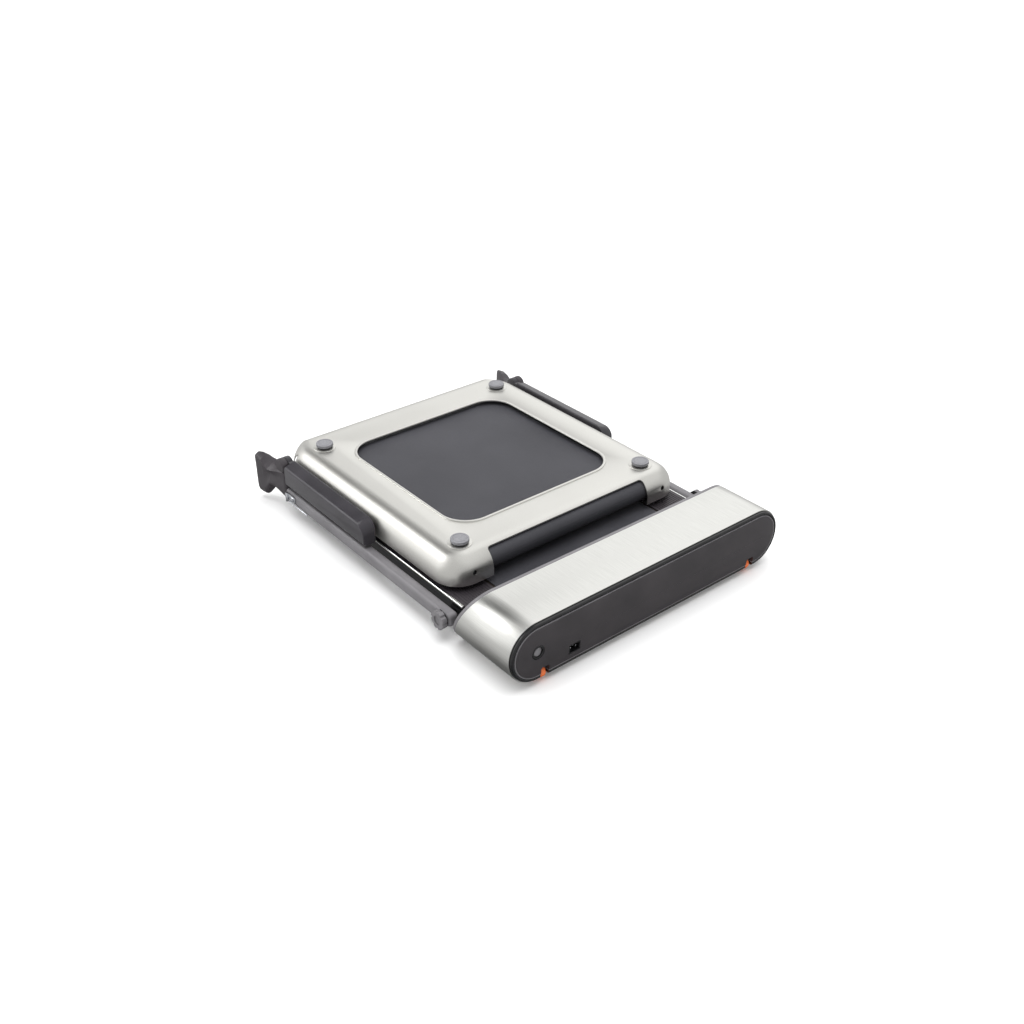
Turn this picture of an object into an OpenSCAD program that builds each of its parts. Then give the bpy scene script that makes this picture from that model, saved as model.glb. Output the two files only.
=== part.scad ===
// Folding walking treadmill, shown folded. A motor hood stands at the front. Behind it lies
// the front deck half, with the rear deck half folded upside down over it, and a folding
// handrail lies along each side. Millimetres: X runs across the deck, +Y runs from the hood
// to the fold, +Z is up. The origin is on the floor under the middle of the folded machine.

/* [Overall size] */
// Height of the folded machine, to the top of the rear feet
folded_h = 152; // [150:1:190]
// Width of the running belt
belt_w = 440; // [360:5:560]
// Width of the foot rail on each side of the belt
side_w = 92; // [88:1:120]
// Length of the rear deck half, from the fold axis to its free end
rear_l = 606; // [500:1:760]
// How far the hood stands out past the deck on each side
hood_overhang = 46; // [44:1:60]

/* [Motor hood] */
// Height of the hood's underside over the floor
hood_clearance = 12; // [10:1:16]
// Depth of the silver cover along its top
cover_top_d = 123; // [115:1:160]
// Backward slope of the cover's rear edge, in degrees
cover_slope = 25; // [10:1:30]
// Wall of the hood cover
hood_wall = 2.5; // [2:0.1:4]
// Depth of the grey bezel behind the cover
bezel_d = 8; // [5:0.5:12]
// How far the front panel bulges forward
panel_bulge = 10; // [6:0.5:14]

/* [Decks and belt] */
// Space between the two running surfaces when folded
belt_gap = 12; // [8:0.5:20]
// Thickness of the running belt
belt_t = 2; // [1.4:0.1:3]
// Radius of the two belt rollers
roller_r = 22; // [18:0.5:24]
// Thickness of the deck boards
board_t = 14.5; // [10:0.5:16]
// Thickness of the foot rails
rail_t = 10; // [8:0.5:11]
// Height of the steel side tubes
tube_h = 36; // [28:1:37]
// Width of the steel side tubes
tube_w = 28; // [20:1:28]
// Wall of the steel tubes
tube_wall = 2; // [1.5:0.1:3]
// Gap between the hood's foot and the rear half's free end
rear_gap = 31; // [28:1:60]

/* [Rear half cover] */
// Height of the rubber feet over the rear cover
foot_proud = 11; // [8:0.5:13]
// Radius of the rubber feet
foot_r = 19; // [14:0.5:24]
// Sheet thickness of the rear cover
pan_wall = 2.5; // [1.5:0.1:3]
// Radius along the long edges and the near end of the rear cover
pan_edge_r = 45; // [30:1:46]
// Plan radius of the rear cover's near corners
pan_corner_r = 58; // [48:1:70]
// Width of the window over the returning belt
window_w = 424; // [300:1:430]
// Length of the window over the returning belt
window_l = 425; // [300:1:440]
// Corner radius of the window
window_r = 62; // [30:1:90]
// Width of the notch that shows the rear roller
notch_w = 406; // [300:1:430]
// Depth of the notch that shows the rear roller
notch_d = 24; // [18:1:30]

/* [Handrails] */
// Width of the handrail post, across the machine
post_w = 30; // [24:1:34]
// Height of the lying handrail post
post_h = 30; // [28:1:36]
// Length of the post, from its pivot to the end block
post_l = 592; // [500:1:620]
// Height of the folded grip
grip_h = 53; // [44:1:56]
// Length of the grip, up to the end block
grip_l = 320; // [240:1:380]
// Radius of the pivot knobs
knob_r = 20; // [16:0.5:24]
// Radius of the pivot studs
stud_r = 6; // [5:0.1:8]
// Length of the flared tail of the end block, behind the post
tail_l = 116; // [100:1:130]

/* [Fits] */
// Radial clearance of a shaft that turns in its bore
fit = 0.05; // [0.02:0.01:0.1]
// Clearance between parts that move past each other
play = 0.5; // [0.3:0.05:1]
// Space left between a shaft's head and the face beside it
end_play = 0.3; // [0.2:0.05:0.6]
// Space between the belt and the roller or pulley that it runs round
belt_slip = 0.3; // [0.3:0.05:0.6]

/* [Hidden] */
$fn = 64;
eps = 0.01;
wide = 1000;

// heights
fold_z = folded_h / 2;
pan_top = folded_h - foot_proud;
hood_top = pan_top - 1;
hood_r = (hood_top - hood_clearance) / 2 - 0.5;
belt_z = fold_z - belt_gap / 2;
board_top = belt_z - belt_t - play;
roller_z = belt_z - belt_t - roller_r;
run_z = roller_z - roller_r - belt_t;
rail_z = belt_z - rail_t;
tube_z = rail_z - tube_h;
cross_z = max(tube_z + 6, run_z + belt_t + 4);
cross_h = board_top - board_t - cross_z - 3;
tray_z = hood_clearance - 3;
tray_t = 2.5;

// half widths
belt_x = belt_w / 2;
pan_x = belt_x + side_w;
hood_x = pan_x + hood_overhang;
rail_x0 = belt_x + 6;
board_x = rail_x0 - 1;
rail_x1 = pan_x - 5;
tube_x1 = pan_x - 22;
tube_x0 = tube_x1 - tube_w;
post_x0 = pan_x + 5;
post_x1 = post_x0 + post_w;
knob_t = 11;
knob_x = post_x1 + 2;

// lengths, from the front seam of the hood
tan_slope = tan(cover_slope);
function cover_y(z) = cover_top_d + (hood_top - z) * tan_slope;
panel_d = bezel_d + 6;
hood_foot_y = cover_y(hood_clearance) + panel_d;
rear_y = hood_foot_y + rear_gap;
fold_y = rear_y + rear_l;
pivot_y = hood_foot_y + 17;
pivot_z = tube_z + 26;
roller_y = cover_y(belt_z) - 6;
rear_roller_y = rear_y + 8 + roller_r + belt_t;
board_y = roller_y + roller_r + 6;
rail_y = hood_foot_y - 27;
window_y = rear_y + 106;
post_end = pivot_y + post_l;
tail_end = post_end + tail_l;
grip_y = post_end - grip_l - 1;
mid_y = (tail_end - panel_bulge) / 2;

// the fold
hinge_r = 14;
hinge_pin_r = 6;
hinge_plate_t = 8;
hinge_x1 = tube_x0;
hinge_x0 = hinge_x1 - hinge_plate_t;
fold_lip_r = pan_top - fold_z;
fold_lip_end = 48;
fold_lip_x = pan_x - 16;
deck_end = fold_y - hinge_r - 4;
tube_end = fold_y - 54;
hinge_arm_y = fold_y - 80;
last_cross_y = fold_y - 94;
guide_r = 8;
guide_y = fold_y - 68;
guide_z = run_z + belt_t + guide_r + play;
ramp_z = fold_z - 30;
rear_tube_x0 = hinge_x0 - play;
board_end = fold_y - 4;
belt_end = fold_y - 0.3;

// the drive in the hood
motor_r = 36;
motor_y = 62;
motor_z = hood_top - motor_r - 16;
motor_pulley_r = 9;
drive_pulley_r = 19;
drive_belt_t = 2;
drive_belt_w = 10;
pulley_x = belt_x + 14;
motor_x0 = belt_x - 150;
motor_x1 = belt_x + 2;
front_tube_y = 50;
cross_w = 24;

// front panel fittings
switch_x = belt_x + 76;
switch_z = fold_z + 3;
switch_r = 15;
switch_tilt = 8;
switch_wall = 2.4;
switch_pin_y = -4;
switch_pin_r = 1.2;
inlet_x = belt_x - 12;
inlet_z = fold_z - 29;
inlet_w = 28;
inlet_h = 21;
wheel_r = 13;
wheel_w = 14;
wheel_x = pan_x - 34;
wheel_y = 9;
wheel_z = wheel_r + 5;
wheel_axle_r = 4;

// handrail end
grip_z = pivot_z + post_h / 2 + 7;
knuckle_r = 18;
knuckle_y = post_end + 22;
knuckle_z = grip_z + 40;
knuckle_mid = post_x0 + post_w * 0.47;
grip_pin_r = 4;
block_top = knuckle_z + 19;
flare = 12;

// colours
silver = [0.86, 0.85, 0.82];
dark = [0.29, 0.28, 0.30];
darker = [0.17, 0.17, 0.18];
grey = [0.46, 0.45, 0.47];
black = [0.08, 0.08, 0.08];
steel = [0.62, 0.63, 0.65];
belt_colour = [0.24, 0.24, 0.26];
orange = [0.91, 0.42, 0.17];

// ---- helpers -------------------------------------------------------------------------

// A flat shape of (y, z) points, made thick across the machine.
module along_x(x0, x1) {
    translate([x0, 0, 0]) rotate([90, 0, 90]) linear_extrude(x1 - x0) children();
}

// A flat shape of (x, z) points, made long from the hood to the fold.
module along_y(y0, y1) {
    translate([0, y1, 0]) rotate([90, 0, 0]) linear_extrude(y1 - y0) children();
}

// A flat shape of (x, y) points, made high.
module along_z(z0, z1) {
    translate([0, 0, z0]) linear_extrude(z1 - z0) children();
}

// A box between two corners.
module block(x0, x1, y0, y1, z0, z1) {
    translate([x0, y0, z0]) cube([x1 - x0, y1 - y0, z1 - z0]);
}

// A round bar across the machine.
module bar_x(x0, x1, y, z, r) {
    translate([x0, y, z]) rotate([0, 90, 0]) cylinder(r = r, h = x1 - x0);
}

// A round bar along the machine.
module bar_y(x, y0, y1, z, r) {
    translate([x, y1, z]) rotate([90, 0, 0]) cylinder(r = r, h = y1 - y0);
}

// The children on the right side and mirrored on the left side.
module both_sides() {
    children();
    mirror([1, 0, 0]) children();
}

// The children on one side: 1 is the right side and -1 the left side.
module on_side(side) {
    mirror([side < 0 ? 1 : 0, 0, 0]) children();
}

// The children turned upside down about the height of the fold axis.
module flipped() {
    translate([0, 0, 2 * fold_z]) mirror([0, 0, 1]) children();
}

// A rectangle with round corners.
module round_rect(x0, y0, x1, y1, r) {
    translate([x0 + r, y0]) square([x1 - x0 - 2 * r, y1 - y0]);
    translate([x0, y0 + r]) square([x1 - x0, y1 - y0 - 2 * r]);
    for (x = [x0 + r, x1 - r], y = [y0 + r, y1 - r]) translate([x, y]) circle(r);
}

// Two circles with straight tangents between them, as a belt runs round two pulleys.
module belt_outline(a, ra, b, rb) {
    d = norm(b - a);
    heading = atan2(b.y - a.y, b.x - a.x);
    turn = acos((ra - rb) / d);
    function spoke(angle) = [cos(angle), sin(angle)];
    translate(a) circle(ra);
    translate(b) circle(rb);
    polygon([
        a + ra * spoke(heading + turn), b + rb * spoke(heading + turn),
        b + rb * spoke(heading - turn), a + ra * spoke(heading - turn),
    ]);
}

// The hood's cross-section, smaller by an inset.
module hood_section(inset) {
    round_rect(
        -hood_x + inset, hood_clearance + inset, hood_x - inset, hood_top - inset,
        hood_r - inset
    );
}

// The side view of the space between two planes parallel to the cover's sloping edge.
module sloped_side(y0, y1) {
    polygon([
        [y0 + cover_y(0), 0], [y1 + cover_y(0), 0],
        [y1 + cover_y(pan_top), pan_top], [y0 + cover_y(pan_top), pan_top],
    ]);
}

// A hollow rectangular tube along the machine.
module tube_y(x0, x1, y0, y1, z0, z1) {
    difference() {
        block(x0, x1, y0, y1, z0, z1);
        block(
            x0 + tube_wall, x1 - tube_wall, y0 - 1, y1 + 1, z0 + tube_wall, z1 - tube_wall
        );
    }
}

// ---- motor hood ----------------------------------------------------------------------

// Openings for the transport wheels and their forks.
module wheel_openings(depth) {
    both_sides() {
        block(
            wheel_x - wheel_w / 2 - 6, wheel_x + wheel_w / 2 + 6, -20, depth, 0,
            wheel_z + wheel_r + 3
        );
    }
}

// Silver sleeve of the hood, open at the front and cut on a slope at the rear.
module hood_cover() {
    color(silver)
    difference() {
        intersection() {
            along_y(0, hood_foot_y) hood_section(0);
            along_x(-wide, wide)
                polygon([[0, 0], [cover_y(0), 0], [cover_y(pan_top), pan_top], [0, pan_top]]);
        }
        along_y(-1, hood_foot_y + 1) hood_section(hood_wall);
        wheel_openings(50);
    }
}

// Dark ring inside the mouth of the cover.
module front_bezel() {
    color(darker)
    difference() {
        along_y(-6.5, 12) hood_section(hood_wall + 0.2);
        along_y(-7.5, 13) hood_section(8);
        wheel_openings(50);
    }
}

// Curved front panel, with openings for the switch, the inlet and the wheels.
module front_panel() {
    sweep_r = 300;
    color(dark)
    difference() {
        intersection() {
            along_y(-panel_bulge, 8) hood_section(8.2);
            bar_x(-wide, wide, sweep_r - panel_bulge, fold_z, sweep_r);
        }
        bar_x(-wide, wide, sweep_r - panel_bulge, fold_z, sweep_r - 3);
        bar_y(-switch_x, -20, 30, switch_z, switch_r + play);
        block(
            -inlet_x - inlet_w / 2 - play, -inlet_x + inlet_w / 2 + play, -20, 30,
            inlet_z - inlet_h / 2 - play, inlet_z + inlet_h / 2 + play
        );
        wheel_openings(50);
    }
}

// Grey ring behind the cover's sloping edge.
module hood_rear_bezel() {
    color(grey)
    difference() {
        intersection() {
            along_y(0, hood_foot_y + 20) hood_section(0.8);
            along_x(-wide, wide) sloped_side(0, bezel_d);
        }
        along_y(-1, hood_foot_y + 21) hood_section(hood_wall + 3);
    }
}

// Where the deck passes into the hood.
module deck_passage() {
    block(-pan_x + 3, pan_x - 3, 0, wide, 0, belt_z + 2.5);
}

// Dark panel that closes the rear of the hood over the deck.
module hood_rear_panel() {
    color(darker)
    difference() {
        intersection() {
            along_y(0, hood_foot_y + 20) hood_section(hood_wall + 3.2);
            along_x(-wide, wide) sloped_side(bezel_d - 4, bezel_d - 1);
        }
        deck_passage();
        display_opening(0.2);
    }
}

// Opening for the display, grown by a gap.
module display_opening(gap) {
    along_y(0, wide) round_rect(-95 - gap, hood_top - 42 - gap, 95 + gap, hood_top - 16 + gap, 6);
}

// Smoked lens of the display.
module display_window() {
    color(black)
    intersection() {
        along_x(-96, 96) sloped_side(bezel_d - 4, bezel_d - 1);
        display_opening(0);
    }
}

// Display circuit board behind the lens.
module display_board() {
    color([0.1, 0.3, 0.15])
    intersection() {
        along_x(-100, 100) sloped_side(bezel_d - 10, bezel_d - 8);
        along_y(0, wide) round_rect(-100, hood_top - 46, 100, hood_top - 12, 3);
    }
}

// ---- front half ----------------------------------------------------------------------

// Folded sheet under the front half.
module base_tray() {
    color(darker)
    union() {
        block(
            -tube_x1 - 6, tube_x1 + 6, hood_foot_y + 9, fold_y - 22, tray_z, tray_z + tray_t
        );
        both_sides() block(
            tube_x1 + 3.5, tube_x1 + 6, pivot_y + 26, tube_end, tray_z, rail_z - play
        );
    }
}

// Long steel tubes of the front half.
module base_side_tubes() {
    color(darker)
    both_sides() tube_y(tube_x0, tube_x1, front_tube_y, tube_end, tube_z, rail_z);
}

// Places of the cross tubes along the front half.
function base_cross_places() = [
    motor_y, roller_y + 110, (roller_y + 110 + last_cross_y) / 2, last_cross_y,
];

// A hollow rectangular tube across the machine, up to a given half width and height.
module cross_tube(x, y, top) {
    inner_w = cross_w - 2 * tube_wall;
    difference() {
        block(-x, x, y - cross_w / 2, y + cross_w / 2, cross_z, top);
        block(
            -x - 1, x + 1, y - inner_w / 2, y + inner_w / 2, cross_z + tube_wall,
            top - tube_wall
        );
    }
}

// Steel tubes across the front half, and a round bar that guides the returning belt.
module base_cross_tubes() {
    color(darker) {
        for (y = base_cross_places()) cross_tube(tube_x0, y, cross_z + cross_h);
        bar_x(-hinge_x0, hinge_x0, guide_y, guide_z, guide_r);
    }
}

// Board that carries the belt.
module front_deck_board() {
    color([0.45, 0.33, 0.22])
    block(-board_x, board_x, board_y, board_end, board_top - board_t, board_top);
}

// Rubber cushions between the cross tubes and the board.
module front_deck_cushions() {
    color(black)
    for (y = [for (i = [1:3]) base_cross_places()[i]], x = [-belt_x + 30, 0, belt_x - 30]) {
        translate([x, y, cross_z + cross_h])
            cylinder(r = 9, h = board_top - board_t - cross_z - cross_h);
    }
}

// Outline of a ribbed foot rail: a slab with shallow grooves along its top.
module rail_section() {
    groove_pitch = 6;
    groove_w = 2.4;
    difference() {
        translate([rail_x0, rail_z]) square([rail_x1 - rail_x0, rail_t]);
        for (x = [rail_x0 + 6 : groove_pitch : rail_x1 - 6])
            translate([x, belt_z - 1]) square([groove_w, 2]);
    }
}

// Ribbed rails to stand on, beside the belt.
module front_foot_rails() {
    color(dark)
    both_sides() along_y(rail_y, deck_end) rail_section();
}

// Bright strips along the outer edges of the foot rails.
module front_rail_trims() {
    color(silver)
    both_sides() block(
        rail_x1 + 0.5, pan_x + 3, hood_foot_y, deck_end, belt_z - 5, belt_z + 0.5
    );
}

// Side view of the belt round a roller: the upper run goes straight to the fold, and the
// returning run rises from its guide bar to the fold.
module belt_loop(y) {
    inner = roller_r + belt_slip;
    outer = roller_r + belt_t;
    t = outer - inner;
    difference() {
        translate([y, roller_z]) circle(outer);
        translate([y, roller_z]) circle(inner);
        translate([y, roller_z - 2 * outer]) square(4 * outer);
    }
    translate([y, roller_z + inner]) square([belt_end - y, t]);
    translate([y, run_z]) square([guide_y - y, t]);
    polygon([
        [guide_y, run_z], [belt_end, ramp_z], [belt_end, ramp_z + t], [guide_y, run_z + t],
    ]);
}

// Belt along the front half, round the drive roller.
module front_belt() {
    color(belt_colour)
    along_x(-belt_x, belt_x) belt_loop(roller_y);
}

// Side view of a half ring of belt round the fold axis.
module fold_ring(r) {
    difference() {
        translate([fold_y, fold_z]) circle(r);
        translate([fold_y, fold_z]) circle(r - belt_t + belt_slip);
        translate([fold_y - 2 * r, fold_z - 2 * r]) square([2 * r, 4 * r]);
    }
}

// Tight bend of the upper run at the fold.
module belt_fold_inner() {
    color(belt_colour)
    along_x(-belt_x, belt_x) fold_ring(belt_gap / 2 + belt_t - belt_slip);
}

// Wide bend of the returning run round the outside of the fold.
module belt_fold_outer() {
    color(belt_colour)
    along_x(-belt_x, belt_x) fold_ring(fold_z - ramp_z);
}

// ---- drive ---------------------------------------------------------------------------

// Motor housing with its end bells and the bore for its shaft.
module motor() {
    color(grey)
    difference() {
        union() {
            bar_x(-motor_x1 + 12, -motor_x0 - 12, motor_y, motor_z, motor_r);
            bar_x(-motor_x1, -motor_x0, motor_y, motor_z, motor_r - 5);
        }
        bar_x(-motor_x1 - 1, -motor_x1 + 16, motor_y, motor_z, 5 + fit);
    }
}

// Saddle that holds the motor on the front cross tube.
module motor_bracket() {
    color(steel)
    difference() {
        block(
            -motor_x1 + 20, -motor_x0 - 20, motor_y - 26, motor_y + 26,
            cross_z + cross_h, motor_z - motor_r + 12
        );
        bar_x(-wide, 0, motor_y, motor_z, motor_r);
    }
}

// Motor shaft with its grooved pulley.
module motor_rotor() {
    color(steel)
    union() {
        bar_x(-pulley_x - drive_belt_w, -motor_x1 + 14, motor_y, motor_z, 5);
        bar_x(-pulley_x - drive_belt_w, -pulley_x + 1, motor_y, motor_z, motor_pulley_r);
    }
}

// Ribbed drive belt from the motor to the roller.
module drive_belt() {
    color(black)
    along_x(-pulley_x - drive_belt_w + 1, -pulley_x)
    difference() {
        belt_outline(
            [motor_y, motor_z], motor_pulley_r + drive_belt_t,
            [roller_y, roller_z], drive_pulley_r + drive_belt_t
        );
        belt_outline(
            [motor_y, motor_z], motor_pulley_r + belt_slip,
            [roller_y, roller_z], drive_pulley_r + belt_slip
        );
    }
}

// Speed controller on its finned heat sink.
module motor_controller() {
    x0 = 10;
    x1 = 210;
    fin_pitch = 12;
    color(steel)
    union() {
        block(x0, x1, 24, 104, cross_z + cross_h, cross_z + cross_h + 5);
        for (x = [x0 : fin_pitch : x1 - 3])
            block(x, x + 2.5, 28, 60, cross_z + cross_h + 5, cross_z + cross_h + 26);
        block(x0 + 8, x1 - 8, 64, 100, cross_z + cross_h + 5, cross_z + cross_h + 34);
    }
}

// Drive roller: a drum on a through axle.
module drive_roller() {
    color(steel)
    roller_drum(roller_y, roller_z, tube_x0 - 3);
}

// A hollow drum with end discs, on an axle that reaches a given half width.
module roller_drum(y, z, reach) {
    union() {
        difference() {
            bar_x(-belt_x - 8, belt_x + 8, y, z, roller_r);
            bar_x(-belt_x - 2, belt_x + 2, y, z, roller_r - 3);
        }
        bar_x(-reach, reach, y, z, 8);
    }
}

// Pulley on the end of the drive roller.
module drive_pulley() {
    color(darker)
    difference() {
        bar_x(-pulley_x - drive_belt_w, -pulley_x + 1, roller_y, roller_z, drive_pulley_r);
        bar_x(-wide, 0, roller_y, roller_z, 8);
    }
}

// Bearing blocks that hold the drive roller between the long tubes.
module drive_roller_blocks() {
    color(grey)
    both_sides() difference() {
        block(tube_x0 - 3.5, tube_x0, roller_y - 16, roller_y + 16, tube_z + 4, rail_z);
        bar_x(tube_x0 - 20, tube_x0 - 2, roller_y, roller_z, 8 + fit);
    }
}

// ---- front fittings ------------------------------------------------------------------

// Socket for the mains lead, with three contacts in its well.
module power_inlet() {
    well_w = inlet_w - 6;
    well_h = inlet_h - 7;
    color(black)
    translate([-inlet_x, 0, inlet_z]) {
        difference() {
            block(-inlet_w / 2, inlet_w / 2, -panel_bulge, 22, -inlet_h / 2, inlet_h / 2);
            block(
                -well_w / 2, well_w / 2, -panel_bulge - 1, 12, -well_h / 2, well_h / 2
            );
        }
        for (pin = [[-6.5, -2], [0, 3], [6.5, -2]])
            block(pin.x - 1, pin.x + 1, 2, 12, pin.y - 2, pin.y + 2);
    }
}

// Round housing of the power switch, with the two holes for the rocker's pin.
module power_switch_housing() {
    color(black)
    difference() {
        bar_y(-switch_x, -panel_bulge, 18, switch_z, switch_r);
        bar_y(-switch_x, -panel_bulge - 1, 8, switch_z, switch_r - switch_wall);
        switch_pin(switch_r - 0.8, switch_pin_r + play);
    }
}

// Pin that the rocker turns on, of a given half length and radius.
module switch_pin(reach, r) {
    bar_x(-switch_x - reach, -switch_x + reach, switch_pin_y, switch_z, r);
}

// Round rocker on its pin, tilted to its off side.
module power_switch_rocker() {
    rocker_r = switch_r - switch_wall - play;
    color(darker)
    union() {
        translate([-switch_x, switch_pin_y, switch_z]) rotate([-switch_tilt, 0, 0])
            rotate([90, 0, 0]) cylinder(r = rocker_r, h = 4, center = true);
        switch_pin(switch_r - 1.2, switch_pin_r);
    }
}

// A transport wheel with its bore, on one side.
module wheel(side) {
    color(orange)
    on_side(side) difference() {
        bar_x(wheel_x - wheel_w / 2, wheel_x + wheel_w / 2, wheel_y, wheel_z, wheel_r);
        bar_x(wheel_x - wheel_w, wheel_x + wheel_w, wheel_y, wheel_z, wheel_axle_r + fit);
    }
}

module left_wheel() {
    wheel(-1);
}

module right_wheel() {
    wheel(1);
}

// Forks with axles that carry the transport wheels at the ends of the long tubes.
module wheel_forks() {
    gap = wheel_w / 2 + 1;
    plate_t = 3;
    color(steel)
    both_sides() union() {
        for (x = [wheel_x - gap - plate_t, wheel_x + gap])
            block(x, x + plate_t, 4, front_tube_y, wheel_z - 6, wheel_z + 22);
        bar_x(wheel_x - gap - 1, wheel_x + gap + 1, wheel_y, wheel_z, wheel_axle_r);
        block(
            wheel_x - gap - plate_t, wheel_x + gap + plate_t, front_tube_y - 4,
            front_tube_y, wheel_z + 10, wheel_z + 22
        );
    }
}

// Blocks beside the long tubes, bored for the handrail studs.
module pivot_brackets() {
    color(darker)
    both_sides() difference() {
        block(tube_x1, post_x0 - 1, pivot_y - 15, pivot_y + 16, tube_z + 3, rail_z - play);
        bar_x(tube_x1 - 1, post_x0, pivot_y, pivot_z, stud_r);
    }
}

// Rubber feet under the front half.
module base_feet() {
    color(black)
    both_sides() {
        translate([belt_x - 20, 60, 0]) cylinder(r = foot_r - 1, h = hood_clearance);
        translate([tube_x0 - 17, tube_end - 20, 0]) cylinder(r = foot_r - 1, h = tray_z);
    }
}

// ---- fold ----------------------------------------------------------------------------

// One hinge plate: an arm along a side tube that ends in a round eye at the fold axis.
module hinge_plate(x0) {
    difference() {
        union() {
            block(x0, x0 + hinge_plate_t, hinge_arm_y, fold_y, tube_z + 10, rail_z - play);
            block(x0, x0 + hinge_plate_t, deck_end + 4, fold_y, rail_z - 1, fold_z);
            bar_x(x0, x0 + hinge_plate_t, fold_y, fold_z, hinge_r);
        }
        bar_x(x0 - 1, x0 + hinge_plate_t + 1, fold_y, fold_z, hinge_pin_r);
    }
}

// Hinge plates of the front half.
module front_hinge_plates() {
    color(steel)
    both_sides() hinge_plate(hinge_x0);
}

// Hinge plates of the rear half.
module rear_hinge_plates() {
    color(steel)
    flipped() both_sides() hinge_plate(hinge_x0 - play - hinge_plate_t);
}

// Headed pins through the hinge plates.
module hinge_pins() {
    x0 = hinge_x0 - play - hinge_plate_t;
    color(steel)
    both_sides() union() {
        bar_x(x0 - end_play - 2, hinge_x1 + end_play + 2, fold_y, fold_z, hinge_pin_r - fit);
        bar_x(x0 - end_play - 3, x0 - end_play, fold_y, fold_z, hinge_pin_r + 3);
        bar_x(hinge_x1 + end_play, hinge_x1 + end_play + 3, fold_y, fold_z, hinge_pin_r + 3);
    }
}

// ---- rear half -----------------------------------------------------------------------

// Cross-section of the rear cover, smaller by an inset: round long edges, open below.
module pan_section(inset) {
    x = pan_x - inset;
    r = pan_edge_r - inset;
    top = pan_top - inset;
    low = fold_z + 1 - (inset > 0 ? 1 : 0);
    difference() {
        union() {
            translate([-x, low]) square([2 * x, top - r - low]);
            translate([-x + r, low]) square([2 * (x - r), top - low]);
            for (side = [-1, 1]) translate([side * (x - r), top - r]) circle(r);
        }
        translate([-wide, low - wide]) square([2 * wide, wide]);
    }
}

// Plan of the rear cover, smaller by an inset, from its free end to behind the fold.
module pan_plan(inset) {
    x = pan_x - inset;
    y0 = rear_y + inset;
    r = pan_corner_r - inset;
    end_r = 100;
    end_y = fold_y + fold_lip_r;
    translate([-x + r, y0]) square([2 * (x - r), 2 * r]);
    translate([-x, y0 + r]) square([2 * x, end_y - end_r - y0 - r]);
    translate([-x + end_r, y0 + r]) square([2 * (x - end_r), end_y - y0 - r]);
    for (side = [-1, 1]) {
        translate([side * (x - r), y0 + r]) circle(r);
        translate([side * (x - end_r), end_y - end_r]) circle(end_r - eps);
    }
}

// The rolled near end of the rear cover, smaller by an inset: a round edge across the
// machine that turns the plan's two corners.
module pan_near_end(inset) {
    x = pan_x - pan_corner_r;
    y = rear_y + pan_corner_r;
    r = pan_edge_r - inset;
    low = fold_z + 1 - (inset > 0 ? 1 : 0);
    edge_z = pan_top - pan_edge_r;
    turn_r = pan_corner_r - pan_edge_r;
    along_x(-x, x) rolled_side(rear_y + pan_edge_r, y, low, edge_z, r);
    for (side = [-1, 1]) translate([side * x, y, 0]) rotate_extrude()
        rolled_side(turn_r, 0, low, edge_z, r);
}

// Outline of a wall under a round edge: it stands out from one place by the edge's radius
// and reaches back to another place.
module rolled_side(edge, back, low, edge_z, r) {
    out = edge > back ? edge + r : edge - r;
    polygon([[back, low], [out, low], [out, edge_z], [edge, edge_z + r], [back, edge_z + r]]);
    intersection() {
        translate([edge, edge_z]) circle(r);
        translate([min(edge, out), edge_z]) square([r, r]);
    }
}

// The rear cover as a solid, smaller by an inset: its near end rolls down to the hood, and
// its far end bends down round the fold axis.
module pan_solid(inset) {
    lip_x = fold_lip_x - inset;
    pan_near_end(inset);
    intersection() {
        along_y(rear_y + pan_corner_r, fold_y + fold_lip_r) pan_section(inset);
        along_z(0, folded_h) pan_plan(inset);
        union() {
            block(-wide, wide, 0, fold_y - 6, 0, folded_h);
            block(-lip_x, lip_x, 0, fold_y, 0, folded_h);
            bar_x(-lip_x, lip_x, fold_y, fold_z, fold_lip_r - inset);
        }
    }
}

// Silver cover of the rear half, which lies on top when the machine is folded.
module rear_cover() {
    lip_cut = fold_lip_r * 2;
    color(silver)
    difference() {
        union() {
            difference() {
                pan_solid(0);
                pan_solid(pan_wall);
            }
            foot_collars();
            window_rim();
        }
        // everything behind the fold below the end of the lip
        along_x(-wide, wide) polygon([
            [fold_y, fold_z - lip_cut], [fold_y, fold_z],
            [fold_y + lip_cut * cos(fold_lip_end), fold_z + lip_cut * sin(fold_lip_end)],
            [fold_y + 2 * lip_cut, fold_z - lip_cut],
        ]);
        along_z(fold_z, folded_h) window_outline(0);
        along_z(roller_z, folded_h) round_rect(
            -notch_w / 2, rear_y - 60, notch_w / 2, rear_y + notch_d, 8
        );
        both_sides() bar_y(
            tube_x0 - 7, rear_y - 1, rear_y + 12, 2 * fold_z - roller_z, 6
        );
    }
}

// The window's outline, grown by a margin.
module window_outline(grow) {
    round_rect(
        -window_w / 2 - grow, window_y - grow, window_w / 2 + grow, window_y + window_l + grow,
        window_r + grow
    );
}

// Raised rim round the window.
module window_rim() {
    along_z(pan_top - 1, pan_top + 1.5) difference() {
        window_outline(5);
        window_outline(-1);
    }
}

// Places of the feet on the rear cover.
function rear_foot_places() = [rear_y + 63, fold_y - 38];

// Low collars round the rear feet.
module foot_collars() {
    for (side = [-1, 1], y = rear_foot_places())
        translate([side * (belt_x + 25), y, pan_top - 1]) difference() {
            cylinder(r = foot_r + 6, h = 2);
            translate([0, 0, -1]) cylinder(r = foot_r + 0.5, h = 4);
        }
}

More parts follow.
